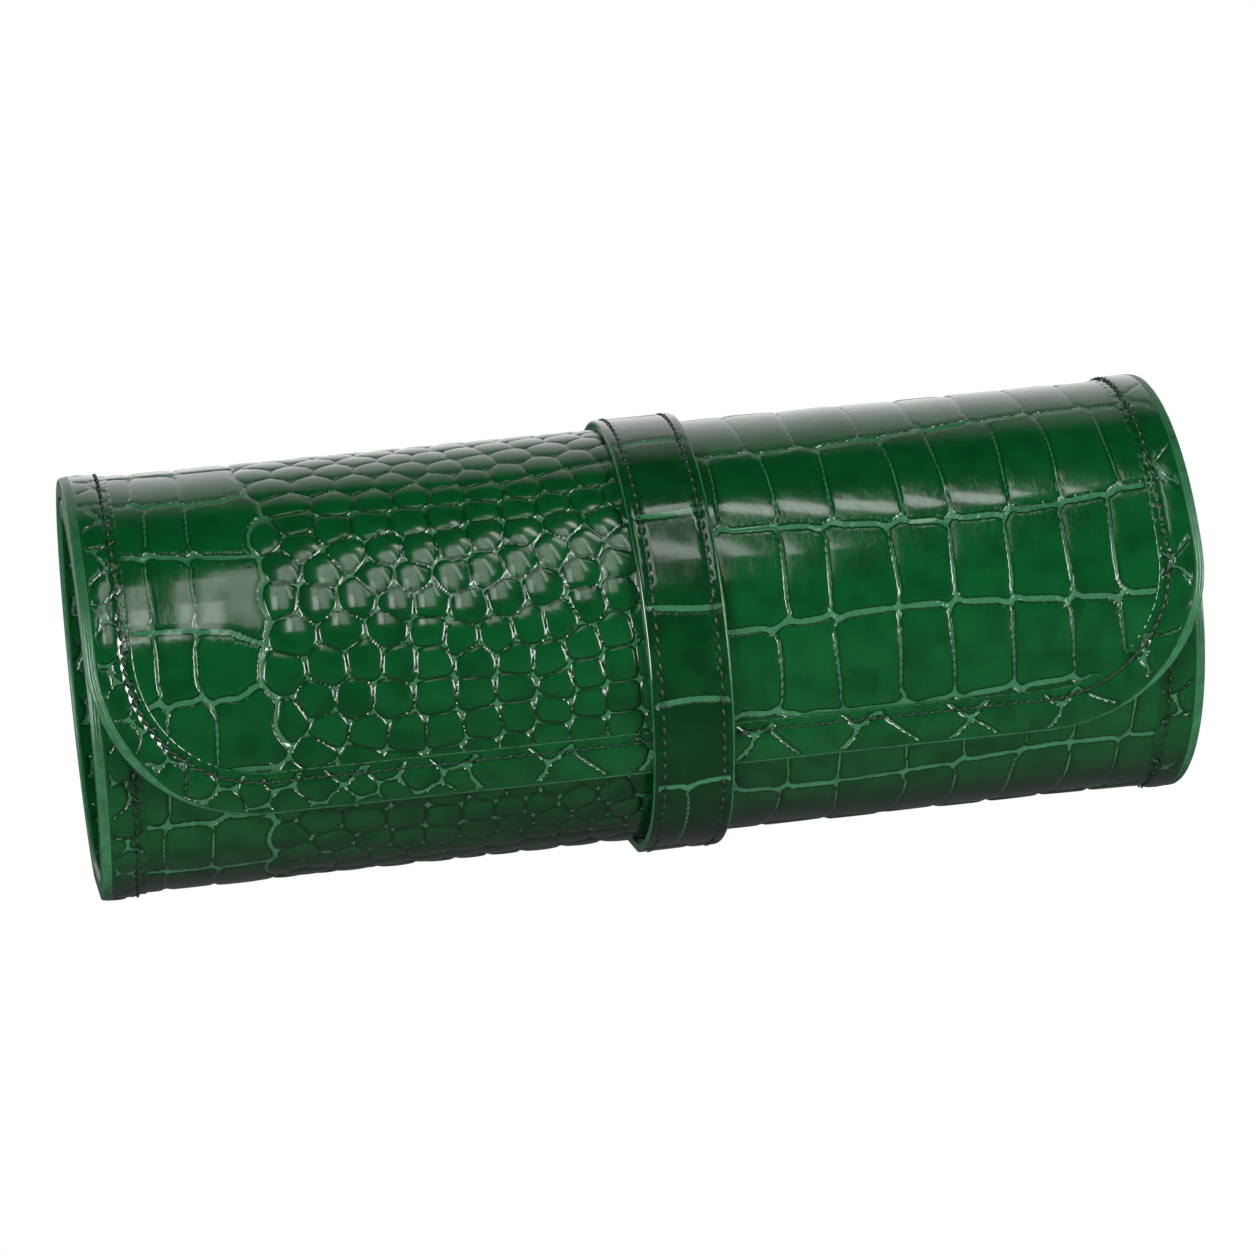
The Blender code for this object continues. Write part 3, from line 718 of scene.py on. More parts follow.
def thread_material(name, colour):
    made, surface = plain_material(name, colour, 0.45)
    tree = made.node_tree
    place = tree.nodes.new("ShaderNodeTexCoord").outputs["Object"]
    shade = noise(tree, place, 1800.0, 2.0)
    colour_between(tree, surface, remap(tree, shade, 0.3, 0.7), colour, shaded(colour, 0.6))
    add_bump(tree, surface, shade, 0.00010)
    return made


OUTER_PAINTS = [embossed_material("embossed_green"), painted_edge_material()]
THREAD = thread_material("green_thread", THREAD_GREEN)


# The border band: a strip of the same leather laid all round the panel over a filler, so that it
# stands up, sewn near its inner edge. Its outer edge is painted together with the panel's.
CORNER_SPAN_MM = math.pi / 2 * CORNER_MM
EDGE_QUARTER_MM = SIDE_MM - 2 * CORNER_MM + CORNER_SPAN_MM
EDGE_WHOLE_MM = 2 * (PANEL_MM + 2 * EDGE_QUARTER_MM)
EDGE_PROFILE = ((0.9, -3.20), (0.36, -3.14), (0.10, -2.90), (0.0, -2.50), (0.0, -1.95), (0.10, -1.66),
                (0.0, -1.36), (0.0, -0.40), (0.10, -0.12), (0.0, 0.12), (0.05, 0.55), (0.25, 0.86),
                (0.6, 0.98))
EDGE_LAST_PAINTED = 12
RIDGED_MM = 2.1                  # the sides' paint runs this far over the band, in fine ridges
RIDGE_MM = 0.60
RIDGE_DEPTH_MM = 0.08
BAND_RISE_MM = 0.34
BAND_PUFF_MM = 0.32
BAND_FALL_MM = 0.40              # towards its inner edge
SEAM_DEPTH_MM = 0.25
SEAM_HALF_MM = 0.55
STITCH_IN_MM = 2.0               # from the band's inner edge
STITCH_STEP_MM = 2.75
# The band's scales are small on its left part and large on the rest. Each has the rows' step, the
# columns' step, the slant and the first scale's number.
BAND_SPLIT_MM = -40.0
BAND_SCALES = ((8.5, 6.6, math.radians(40), 0), (16.5, 12.0, math.radians(47), 20000))
BAND_WAVES = ((0.8, 13, 0.0, 1.0),)
BAND_SHIFT_MM = 1.5
BAND_DRIFT = 0.12


def edge_frames(index, spacing):
    """The panel's outer edge over one segment as runs of frames: place along the edge, foot (u, v)
    and inward direction, with the numbers of rings to drop."""
    start, end = (float(length_at(angle)) for angle in segment_span(index))
    first, last = index == 0, index == SEGMENTS - 1
    if not first and not last:
        count = round((end - start) / spacing)
        v = start + (end - start) / count * np.arange(-1, count + 2)
        runs = []
        for side in (-1, 1):
            run = v if side > 0 else v[::-1]
            runs.append((side * (EDGE_QUARTER_MM + run),
                         np.stack([np.full_like(run, side * SIDE_MM), run], -1),
                         np.stack([np.full_like(run, -side), np.zeros_like(run)], -1)))
        return runs, (1, 1)
    seam = end if first else PANEL_MM - start
    half = SIDE_MM - CORNER_MM
    leg = seam - CORNER_MM
    turning = half + CORNER_SPAN_MM
    places = [np.linspace(-(turning + leg), -turning, max(2, round(leg / spacing)) + 1),
              np.linspace(-turning, -half, round(CORNER_SPAN_MM / spacing) + 1)[1:],
              np.linspace(-half, 0, round(half / spacing) + 1)[1:]]
    left = np.concatenate(places)
    left = np.concatenate([[2 * left[0] - left[1]], left])
    path = np.concatenate([left, -left[-2::-1]])
    reach = np.abs(path)
    turned = np.clip((reach - half) / CORNER_MM, 0, math.pi / 2)
    on_leg = np.maximum(reach - half - CORNER_SPAN_MM, 0)
    sign = np.where(path < 0, -1.0, 1.0)
    u = sign * (np.minimum(reach, half) + CORNER_MM * np.sin(turned))
    v = CORNER_MM * (1 - np.cos(turned)) + on_leg
    inward = np.stack([-sign * np.sin(turned), np.cos(turned)], -1)
    if last:
        path = sign * (EDGE_QUARTER_MM + PANEL_MM + EDGE_QUARTER_MM - reach)
        foot = np.stack([u, PANEL_MM - v], -1)
        return [(path[::-1], foot[::-1], (inward * (1.0, -1.0))[::-1])], (1, 1)
    return [(path, np.stack([u, v], -1), inward)], (1, 1)


def slanting_seeds(low, high, row_step, column_step, angle, first_number):
    """Seeds of oblong scales on a slanting lattice, for the stretch of the band between two places."""
    cosine, sine = math.cos(angle), math.sin(angle)
    reach = (high - low) / 2 + 40
    count = int(2 * reach / row_step)
    lines = [-reach + row_step * row + pattern_random.uniform(-BAND_SHIFT_MM, BAND_SHIFT_MM)
             for row in range(count + 1)]
    columns = []
    for line in lines:
        # Only the columns whose scales can touch the band are made.
        start = -line / math.tan(angle)
        columns.append([start + column_step * (place + pattern_random.uniform(-BAND_DRIFT, BAND_DRIFT))
                        for place in range(-8, 9)])
    seeds = np.array(oblong_seeds(lines, columns, -1e4, 1e4, BAND_WAVES, 0.4, first_number, 0.9))
    s = seeds[:, 0] * cosine - seeds[:, 1] * sine + (low + high) / 2
    d = seeds[:, 0] * sine + seeds[:, 1] * cosine + BAND_MM / 2
    turned = np.stack([d, s, seeds[:, 2] + first_number, seeds[:, 3], seeds[:, 4]], -1)
    kept = (np.abs(d - BAND_MM / 2) < BAND_MM / 2 + NEAR_MM) & (s > low) & (s < high)
    return turned[kept]


def band_seeds():
    """The band's seeds all round the panel. Those near one end are repeated past the other; a copy's
    scale number has a fraction, so it is its own scale with its original's tone and slope."""
    half = EDGE_WHOLE_MM / 2
    spans = ((-half, BAND_SPLIT_MM), (BAND_SPLIT_MM, half))
    seeds = np.concatenate([slanting_seeds(*span, *scales) for span, scales in zip(spans, BAND_SCALES)])
    low_end = seeds[seeds[:, 1] < 20 - half] + (0, EDGE_WHOLE_MM, 0, 0, 0.5)
    high_end = seeds[seeds[:, 1] > half - 20] - (0, EDGE_WHOLE_MM, 0, 0, -0.25)
    return np.concatenate([seeds, low_end, high_end])


BAND_SEEDS = band_seeds()


def foot_places(foot, inward, depth):
    """Flat places at depths from the panel's edge."""
    return foot[:, None, 0] + inward[:, None, 0] * depth, foot[:, None, 1] + inward[:, None, 1] * depth


def seam_dent(off, along):
    """How far a seam pulls the leather in, most between the holes."""
    return np.exp(-(off / SEAM_HALF_MM) ** 2) * (0.7 - 0.3 * np.cos(2 * np.pi * along / STITCH_STEP_MM))


def band_grid(path, foot, inward, drop):
    """The border band with its painted outer edge, which goes down over the lining, and its inner edge."""
    width = BAND_MM
    flat_part = np.linspace(RIDGED_MM + 0.35, width - 0.45, round((width - RIDGED_MM - 0.8) / 0.45) + 1)
    tops = np.concatenate([np.arange(0.75, RIDGED_MM + 0.1, RIDGE_MM / 4), flat_part])
    depth = np.concatenate([[d for d, h in EDGE_PROFILE], tops, [width - 0.2, width - 0.04, width, width]])
    level = np.concatenate([[h for d, h in EDGE_PROFILE], np.full(len(tops), BAND_TOP_MM),
                            [BAND_TOP_MM - 0.03, BAND_TOP_MM - 0.18, BAND_TOP_MM - 0.42, -0.30]])
    s, d = np.meshgrid(path, depth, indexing="ij")
    groove, pebble, zone, tone, dome = scale_field(d, s, BAND_SEEDS)
    side = ease((np.abs(inward[:, :1]) - 0.4) / 0.55)
    groove = groove + 2.5 * side * (1 - ease((d - RIDGED_MM) / 0.6))
    rise = scale_wall(groove, BAND_RISE_MM) - BAND_RISE_MM
    on_top = ease((d - 0.6) / 0.8) * ease((width - 0.15 - d) / 0.6)
    seam = seam_dent(d - (width - STITCH_IN_MM), s)
    puffed = np.clip((d - 0.3) / (width - STITCH_IN_MM - 0.3), 0, 1)
    puff = BAND_PUFF_MM * np.sin(np.pi * puffed) ** 0.8
    level = level - np.where(level > -0.2, BAND_FALL_MM * ease((d - (width - 3.2)) / 2.6), 0.0)
    top = (d > 0.55) & (d < width - 0.1)
    height = level + np.where(top, on_top * (rise + 0.6 * dome) + puff - SEAM_DEPTH_MM * seam, 0.0)
    smooth = level + np.where(top, on_top * 0.6 * dome + puff - SEAM_DEPTH_MM * seam, 0.0)
    ridged = 0.7 + (RIDGED_MM - 0.7) * side
    ridges = RIDGE_DEPTH_MM * side * ease((d - 0.5) / 0.3) * ease((ridged + 0.2 - d) / 0.3)
    ridges = ridges * np.cos(2 * np.pi * d / RIDGE_MM)
    uneven = 0.05 * (np.sin(2.1 * s) + np.sin(3.7 * s + 1.0)) * ease((d - (width - 0.8)) / 0.5)
    height, smooth = height + ridges + uneven, smooth + ridges + uneven
    paint = np.zeros((len(path) - 1, len(depth) - 1), int)
    paint[:, :EDGE_LAST_PAINTED] = 1
    paint[:, -1] = 1
    paint[(depth[:-1] < ridged[:-1]) & (depth[:-1] < 3)] = 1
    u, v = foot_places(foot, inward, d)
    values = {"groove": groove + 2.5 * (1 - on_top), "pebble": pebble * on_top, "zone": zone, "tone": tone,
              "flat_u": d, "flat_v": s}
    return {"points": rolled(u, angle_at(v), height), "smooth": rolled(u, angle_at(v), smooth), "drop": drop,
            "paint": paint, "values": values, "flip": True}


FIELD_UNDER_BAND_MM = 0.8        # the panel's face runs this far under the band


def field_grid(index, across, spacing):
    """The panel's embossed face inside the band, over one segment."""
    start, end = (float(length_at(angle)) for angle in segment_span(index))
    first, last = index == 0, index == SEGMENTS - 1
    inner_radius = CORNER_MM - BAND_MM + FIELD_UNDER_BAND_MM
    wide = SIDE_MM - BAND_MM + FIELD_UNDER_BAND_MM
    if first or last:
        seam = end if first else PANEL_MM - start
        arc = np.linspace(math.pi / 2, 0, round(inner_radius * math.pi / 2 / spacing) + 1)
        leg = np.linspace(CORNER_MM, seam, max(2, round((seam - CORNER_MM) / spacing)) + 1)[1:]
        v = np.concatenate([CORNER_MM - inner_radius * np.sin(arc), leg, [2 * leg[-1] - leg[-2]]])
        half = np.concatenate([SIDE_MM - CORNER_MM + inner_radius * np.cos(arc), np.full(len(leg) + 1, wide)])
        drop = (0, 1)
        if last:
            v, half, drop = PANEL_MM - v[::-1], half[::-1], (1, 0)
    else:
        count = round((end - start) / spacing)
        v = start + (end - start) / count * np.arange(-1, count + 2)
        half = np.full(len(v), wide)
        drop = (1, 1)
    columns = round(2 * wide / across)
    u = half[:, None] * np.linspace(-1, 1, columns + 1)
    v = np.repeat(v[:, None], columns + 1, axis=1)
    groove, pebble, zone, tone, dome = scale_field(u, v, PANEL_SEEDS)
    points = rolled(u, angle_at(v), scale_wall(groove, SCALE_RISE_MM) + dome + 0.05)
    smooth = rolled(u, angle_at(v), dome)
    values = {"groove": groove, "pebble": pebble, "zone": zone, "tone": tone, "flat_u": u, "flat_v": v}
    paint = np.zeros(columns, int)
    return {"points": points, "smooth": smooth, "drop": drop, "paint": paint, "values": values}


# Lockstitches of thick waxed thread, sewn through the band, the panel and the lining. Each stitch is
# short and a little askew, and sinks into its holes. The rows follow the edges.
STITCH_RINGS = ((-1.0, 0.06, -0.34), (-0.82, 0.23, -0.12), (-0.35, 0.28, 0.02), (0.35, 0.28, 0.02),
                (0.82, 0.23, -0.12), (1.0, 0.06, -0.34))
STITCH_HALF_MM = 1.06
STITCH_ASKEW = 0.13
STITCH_SIDES = 6


def stitch_points(middle, direction, height, side=1):
    """Flat places (u, v, height) of the stitches' points, by stitch, ring and side."""
    ring = np.array(STITCH_RINGS)
    around = 2 * np.pi * np.arange(STITCH_SIDES) / STITCH_SIDES
    across = np.stack([-direction[:, 1], direction[:, 0]], -1)
    slant = direction + STITCH_ASKEW * across
    aside = across - STITCH_ASKEW * direction
    along = STITCH_HALF_MM * ring[:, 0]
    place = (middle[:, None, None] + slant[:, None, None] * along[None, :, None, None]
             + aside[:, None, None] * (ring[:, 1][:, None] * np.cos(around))[None, :, :, None])
    lift = height + side * (ring[:, 2][:, None] + ring[:, 1][:, None] * np.sin(around))
    return np.concatenate([place, np.broadcast_to(lift[None, :, :, None], place.shape[:3] + (1,))], -1)


def stitch_mesh(name, places, layer=skin_radius, angles=angle_at):
    """One mesh of all the stitches in a list of blocks of flat places."""
    flat = np.concatenate(places)
    count, rings = flat.shape[:2]
    points = rolled(flat[..., 0], angles(flat[..., 1]), flat[..., 2], layer).reshape(-1, 3)
    corner = np.arange(count * rings * STITCH_SIDES).reshape(count, rings, STITCH_SIDES)
    ahead = np.roll(corner, -1, axis=2)
    quads = np.stack([corner[:, :-1], ahead[:, :-1], ahead[:, 1:], corner[:, 1:]], axis=-1).reshape(-1, 4)
    caps = np.concatenate([corner[:, 0, ::-1], corner[:, -1]])
    mesh = bpy.data.meshes.new(name)
    mesh.from_pydata(points, [], [tuple(face) for face in quads.tolist() + caps.tolist()])
    mesh.polygons.foreach_set("use_smooth", np.ones(len(mesh.polygons), bool))
    mesh.materials.append(THREAD)
    piece = bpy.data.objects.new(name, mesh)
    bpy.context.scene.collection.objects.link(piece)
    return piece


def stitch_places(low, high):
    """Middles of the stitches of a row between two places along it."""
    return STITCH_STEP_MM * np.arange(math.ceil(low / STITCH_STEP_MM), math.floor(high / STITCH_STEP_MM) + 1)


def edge_stitches(runs, drop, depth, height, side=1):
    """Stitches along the panel's edge at a depth from it, over one segment's runs of edge frames."""
    blocks = []
    for path, foot, inward in runs:
        inner = slice(drop[0], len(path) - drop[1])
        steady = path[inner].copy()
        steady[1:] += np.cumsum(np.where(np.diff(steady) < 0, EDGE_WHOLE_MM, 0))
        at = stitch_places(steady[0], steady[-1])
        line = foot[inner] + inward[inner] * depth
        middle = np.stack([np.interp(at, steady, line[:, axis]) for axis in (0, 1)], -1)
        facing = np.stack([np.interp(at, steady, inward[inner][:, axis]) for axis in (0, 1)], -1)
        facing = facing / np.linalg.norm(facing, axis=-1, keepdims=True)
        blocks.append(stitch_points(middle, np.stack([-facing[:, 1], facing[:, 0]], -1), height, side))
    return blocks


# The lining: a suede board inside a band of the same embossed leather, glued to the panel and sewn
# through together with the border. A magnet shows as a low round rise in the suede.
SUEDE_GREEN = (0.012, 0.056, 0.027)
SUEDE_MM = -3.05
MAGNET_PLACE_MM = 6.0
MAGNET_ANGLE = 268.0
MAGNET_RISE_MM = 0.25
MAGNET_RADIUS_MM = 7.6
MAGNET_SLOPE_MM = 1.4
LINING_MM = -3.20
LINING_RISE_MM = 0.24
LINING_BAND_MM = 10.0
LINING_SHIFT_MM = (3.0, 37.0)    # its embossing is taken from another stretch of the band's


def suede_material(name, colour):
    made, surface = plain_material(name, colour, 0.95)
    tree = made.node_tree
    fine = tree.nodes.new("ShaderNodeTexCoord").outputs["Object"]
    pile = noise(tree, fine, 900.0, 3.0)
    brushed = noise(tree, fine, 45.0, 3.0)
    shade = calculate(tree, "ADD", remap(tree, pile, 0.35, 0.65, 0.0, 0.45),
                      remap(tree, brushed, 0.35, 0.65, 0.0, 0.55))
    colour_between(tree, surface, shade, shaded(colour, 0.72), shaded(colour, 1.25))
    surface.inputs["Sheen Weight"].default_value = 0.15
    surface.inputs["Sheen Roughness"].default_value = 0.5
    surface.inputs["Specular IOR Level"].default_value = 0.2
    add_bump(tree, surface, pile, 0.00025)
    return made


SUEDE = suede_material("green_suede", SUEDE_GREEN)
INNER_PAINTS = [OUTER_PAINTS[0], OUTER_PAINTS[1], SUEDE]


def lining_band_grid(path, foot, inward, drop):
    flat_part = np.linspace(1.8, LINING_BAND_MM - 0.3, 16)
    depth = np.concatenate([[0.9, 1.2], flat_part, [LINING_BAND_MM, LINING_BAND_MM]])
    s, d = np.meshgrid(path, depth, indexing="ij")
    groove, pebble, zone, tone, dome = scale_field(d + LINING_SHIFT_MM[0], s + LINING_SHIFT_MM[1], BAND_SEEDS)
    rise = scale_wall(groove, LINING_RISE_MM) - LINING_RISE_MM
    height = LINING_MM - np.where(d > 1.5, rise, 0.0)
    height[:, -1] = SUEDE_MM + 0.10
    smooth = np.where(d < LINING_BAND_MM, LINING_MM, height)
    inside = ease((d - 0.9) / 0.9) * ease((LINING_BAND_MM - d) / 0.5)
    u, v = foot_places(foot, inward, d)
    values = {"groove": groove + 2.5 * (1 - inside), "pebble": pebble, "zone": zone, "tone": tone,
              "flat_u": d, "flat_v": s}
    return {"points": rolled(u, angle_at(v), height), "smooth": rolled(u, angle_at(v), smooth), "drop": drop,
            "paint": np.zeros(len(depth) - 1, int), "values": values}


def suede_grid(index, spacing):
    grid = field_grid(index, spacing, spacing)
    flat_u, flat_v = grid["values"]["flat_u"], grid["values"]["flat_v"]
    from_magnet = np.hypot(flat_u - MAGNET_PLACE_MM, flat_v - float(length_at(MAGNET_ANGLE)))
    rise = MAGNET_RISE_MM * ease((MAGNET_RADIUS_MM - from_magnet) / MAGNET_SLOPE_MM)
    grid["points"] = rolled(flat_u, angle_at(flat_v), SUEDE_MM - rise)
    grid["smooth"] = grid["points"]
    grid["paint"] = np.full(len(grid["paint"]), 2)
    grid["flip"] = True
    return grid


# The panel and its lining, joint by joint: the embossed face with its border band, the suede with a band
# of its own, and the stitches through both. The mesh is finest where the photograph shows it.
FIELD_VALUES = ("groove", "pebble", "zone", "tone", "flat_u", "flat_v")
ACROSS_MM = 0.45
ALONG_MM = (0.5, 0.4, 0.45, 0.5, 0.55, 0.6, 1.0, 1.0, 1.0)
EDGE_ALONG_MM = 0.45
LINING_ALONG_MM = 1.0
SUEDE_STEP_MM = 2.0

for index in range(SEGMENTS):
    names = f"{LINK_NAMES[index]}_{LINK_NAMES[index + 1]}"
    links = LINK_NAMES[index:index + 1] + LINK_NAMES[-1:] * (index == SEGMENTS - 1)
    runs, drop = edge_frames(index, max(ALONG_MM[index], EDGE_ALONG_MM))
    grids = [field_grid(index, ACROSS_MM, ALONG_MM[index])]
    grids += [band_grid(path, foot, inward, drop) for path, foot, inward in runs]
    piece = join_grids(f"panel_{names}", grids, OUTER_PAINTS, FIELD_VALUES)
    bend_segment(piece, index)
    for body in links:
        if body in ("flap_tip", "inner_end"):
            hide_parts(f"skin_{body}", f"border_{body}")
        else:
            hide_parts(f"skin_{body}", f"border_left_{body}", f"border_right_{body}")
    blocks = [block for height, side in ((BAND_TOP_MM, 1), (LINING_MM, -1))
              for block in edge_stitches(runs, drop, BAND_MM - STITCH_IN_MM, height, side)]
    thread = stitch_mesh(f"border_stitches_{names}", blocks)
    bend_segment(thread, index)
    runs, drop = edge_frames(index, LINING_ALONG_MM)
    grids = [suede_grid(index, SUEDE_STEP_MM)]
    grids += [lining_band_grid(path, foot, inward, drop) for path, foot, inward in runs]
    piece = join_grids(f"lining_{names}", grids, INNER_PAINTS, FIELD_VALUES)
    bend_segment(piece, index)
    for body in links:
        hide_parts(f"lining_{body}")


# The strap: one ply of the same leather with domed, painted edges, sewn to the back, wrapped over the
# flap and down under the roll, where a magnet holds its tail.
STRAP_MIDDLE_MM = float(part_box("strap_flap_front")[0][0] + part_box("strap_flap_front")[1][0]) * 500
STRAP_HALF_MM = 8.6
STRAP_START, STRAP_END = -123.0, 189.0
STRAP_STITCH_MM = 6.3
STRAP_RISE_MM = 0.34
STRAP_SEAM_MM = 0.24
STRAP_STEP_MM = 0.5
STRAP_CORNER_MM = 3.0
STRAP_RIM_MM = 1.2               # the embossing fades out over this width at the rims
STRAP_TONE, STRAP_TONE_SPREAD = 2.3, 0.6         # it is darker than the panel
STRAP_STITCH_TOP_MM = 1.94
STRAP_WAVES = ((0.5, 4, 0.3, 1.9),)
STRAP_SEED_SIDE_MM = 16.0
STRAP_SEED_REACH_MM = 20
STRAP_PAST_ANGLE = 6             # the table of lengths runs this far past both ends
# Roll angles from and to, the two bodies, and the angles at which the bend between them starts and ends.
STRAP_SPANS = ((-123.0, -54.0, "strap_tail_lower", "strap_tail_upper", -102.0, -54.0),
               (-54.0, 0.0, "strap_tail_upper", "flap_tip", -54.0, 0.0),
               (0.0, 54.0, "flap_tip", "flap_front", 0.0, 54.0),
               (54.0, 108.0, "flap_front", "flap_top", 54.0, 108.0),
               (108.0, 189.0, "flap_top", "back_upper", 108.0, 162.0))
STRAP_GROOVES = (-123, -97, -63, -29, -7, 16, 41.5, 68.5, 94, 119, 146, 171, 196)
STRAP_SPLITS = {1: (2.0,), 2: (-1.5,), 9: (3.0,)}        # rows with two scales, and where those meet
# The upper right quarter of the strap's section, from the middle of its back to its rim.
STRAP_BACK = [(share * STRAP_HALF_MM, -0.07) for share in (0.0, 0.35, 0.7, 0.9)]
STRAP_RIM = [(STRAP_HALF_MM - inset, height)
             for inset, height in ((0.45, -0.02), (0.16, 0.22), (0.02, 0.55), (0.0, 1.0), (0.03, 1.45),
                                   (0.20, 1.80), (0.50, 1.95))]
STRAP_FACE = [(place, 1.98) for place in np.linspace(STRAP_HALF_MM - 0.9, 0.0, 20)]
STRAP_SIDE = STRAP_BACK + STRAP_RIM + STRAP_FACE
STRAP_LOOP = np.array(STRAP_SIDE + [(-w, h) for w, h in STRAP_SIDE[-2::-1]])
STRAP_FIRST_PAINTED = 3
END_ROUNDING_MM = np.array([0.0, 0.06, 0.2, 0.45, 0.8, 1.2, 1.7, 2.3])
END_CLEAR_MM = 2.5               # even rows start past the rounding

strap_turn = np.linspace(STRAP_START - STRAP_PAST_ANGLE, STRAP_END + STRAP_PAST_ANGLE, 2000)
strap_run = np.concatenate([[0.0], np.cumsum(np.radians(np.diff(strap_turn))
                                             * (strap_radius(strap_turn)[:-1] + STRAP_MM / 2))])


def strap_length(angle):
    return np.interp(angle, strap_turn, strap_run)


def strap_angle(v):
    return np.interp(v, strap_run, strap_turn)


strap_columns = [sorted([-STRAP_SEED_SIDE_MM, *STRAP_SPLITS.get(row, ()), STRAP_SEED_SIDE_MM])
                 for row in range(len(STRAP_GROOVES) - 1)]
strap_rows = [float(strap_length(angle)) for angle in STRAP_GROOVES]
STRAP_SEEDS = np.array(oblong_seeds(strap_rows, strap_columns, -STRAP_SEED_REACH_MM, STRAP_SEED_REACH_MM,
                                    STRAP_WAVES, 0.5))


def strap_grid(low, high, spacing):
    low_v, high_v = float(strap_length(low)), float(strap_length(high))
    count = round((high_v - low_v) / spacing)
    v = low_v + (high_v - low_v) / count * np.arange(-1, count + 2)
    drop = [1, 1]
    if low == STRAP_START:
        v = np.concatenate([low_v + END_ROUNDING_MM, v[v > low_v + END_CLEAR_MM]])
        drop[0] = 0
    if high == STRAP_END:
        v = np.concatenate([v[v < high_v - END_CLEAR_MM], high_v - END_ROUNDING_MM[::-1]])
        drop[1] = 0
    end_gap = np.minimum(v - float(strap_length(STRAP_START)), float(strap_length(STRAP_END)) - v)
    off = STRAP_CORNER_MM - np.clip(end_gap, 0, STRAP_CORNER_MM)
    narrow = STRAP_CORNER_MM - np.sqrt(np.maximum(STRAP_CORNER_MM ** 2 - off ** 2, 0.0))
    thin = np.sqrt(np.maximum(1 - (1 - np.clip(end_gap, 0, 1)) ** 2, 0.0))
    w = STRAP_LOOP[:, 0] * (1 - narrow[:, None] / STRAP_HALF_MM)
    h = 1.0 + (STRAP_LOOP[:, 1] - 1.0) * thin[:, None]
    along = np.repeat(v[:, None], w.shape[1], axis=1)
    groove, pebble, zone, tone, dome = scale_field(w, along, STRAP_SEEDS)
    face = ease((np.abs(w) - STRAP_HALF_MM) / -STRAP_RIM_MM) * (STRAP_LOOP[:, 1] > 1.5) * thin[:, None]
    rise = scale_wall(groove, STRAP_RISE_MM) - STRAP_RISE_MM + 0.5 * dome
    dent = STRAP_SEAM_MM * seam_dent(np.abs(w) - STRAP_STITCH_MM, along)
    points, smooth = (rolled(w + STRAP_MIDDLE_MM, strap_angle(along), h + face * (lift - dent), strap_radius)
                      for lift in (rise, 0.5 * dome))
    paint = np.zeros(w.shape[1] - 1, int)
    under = STRAP_LOOP[:-1, 1] < -0.01
    paint[under] = 2
    paint[(STRAP_LOOP[:-1, 1] < 1.94) & ~under] = 1
    paint[[STRAP_FIRST_PAINTED, len(paint) - 1 - STRAP_FIRST_PAINTED]] = 1
    values = {"groove": groove + 2.5 * (1 - face), "pebble": pebble * face, "zone": zone,
              "tone": STRAP_TONE + STRAP_TONE_SPREAD * tone, "flat_u": w, "flat_v": along}
    return {"points": points, "smooth": smooth, "drop": drop, "paint": paint, "values": values, "flip": True}


for low, high, first_body, second_body, blend_low, blend_high in STRAP_SPANS:
    bend_start, bend_end = (point_on(STRAP_MIDDLE_MM, angle, strap_radius)
                            for angle in (blend_low, blend_high))
    names = f"{first_body}_{second_body}"
    piece = join_grids(f"strap_{names}", [strap_grid(low, high, STRAP_STEP_MM)], INNER_PAINTS, FIELD_VALUES)
    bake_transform(piece)
    nodes = [f"strap_{first_body.removeprefix('strap_')}"]
    if high == STRAP_END:
        nodes.append("strap_back_upper")
    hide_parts(*nodes)
    low_v, high_v = float(strap_length(low)), float(strap_length(high))
    if low == STRAP_START:
        low_v += STITCH_IN_MM + 1
    if high == STRAP_END:
        high_v -= STITCH_IN_MM + 1
    at = stitch_places(low_v, high_v)
    way = np.tile((0.0, 1.0), (len(at), 1))
    blocks = []
    for side in (-1, 1):
        middle = np.stack([np.full_like(at, STRAP_MIDDLE_MM + side * STRAP_STITCH_MM), at], -1)
        blocks += [stitch_points(middle, way, STRAP_STITCH_TOP_MM), stitch_points(middle, way, 0.0, -1)]
    thread = stitch_mesh(f"strap_stitches_{names}", blocks, strap_radius, strap_angle)
    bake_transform(thread)


# Inside hang two flat pockets. Each front is suede, sewn down along its sides and its lower end. The
# slip pocket's mouth has a leather binding, and the zip pocket's mouth is sewn to the zip's tape.
POCKET_HALF_MM = 104.5
POCKET_BACK_MM = -3.45
POCKET_FRONT_MM = -4.50
POCKET_BULGE_MM = 0.9
POCKET_STITCH_MM = 2.5
POCKET_SEAM_MM = 0.28
POCKET_SEAM_HALF_MM = 0.8
POCKET_FULL_MM = 24              # the front is at its fullest this far past its seam
POCKET_RIM_MM = 0.8              # its edges are rounded over this width
BINDING_MM = 6.0
BINDING_THICK_MM = 0.30
BINDING_RISE_MM = 0.2
BINDING_SHIFT_MM = 300.0         # its embossing is taken from another stretch of the panel's
BINDING_STITCH_MM = 1.6          # below the binding's edge
MOUTH_CLEAR_MM = 1.5             # the side stitches stop this far from a bound mouth
BINDING_SEEDS = PANEL_SEEDS + (0, 200.0, 0, 0, 0)
POCKETS = (("slip_pocket", 249.0, 345.0, True), ("zip_pocket", 357.0, 438.6, False))
POCKET_ALONG_MM = 1.2
POCKET_ACROSS_MM = 1.6
MOUTH_ROUNDING_MM = np.array([0.0, 0.05, 0.15, 0.35, 0.6, 0.9])
SIDE_ROUNDING_MM = [0.0, 0.05, 0.15, 0.35, 0.6, 0.9, 1.3, 1.8, 2.2, 2.5, 2.8, 3.2, 3.8]
STITCHES_ACROSS_MM = STITCH_STEP_MM * np.arange(-37, 38)


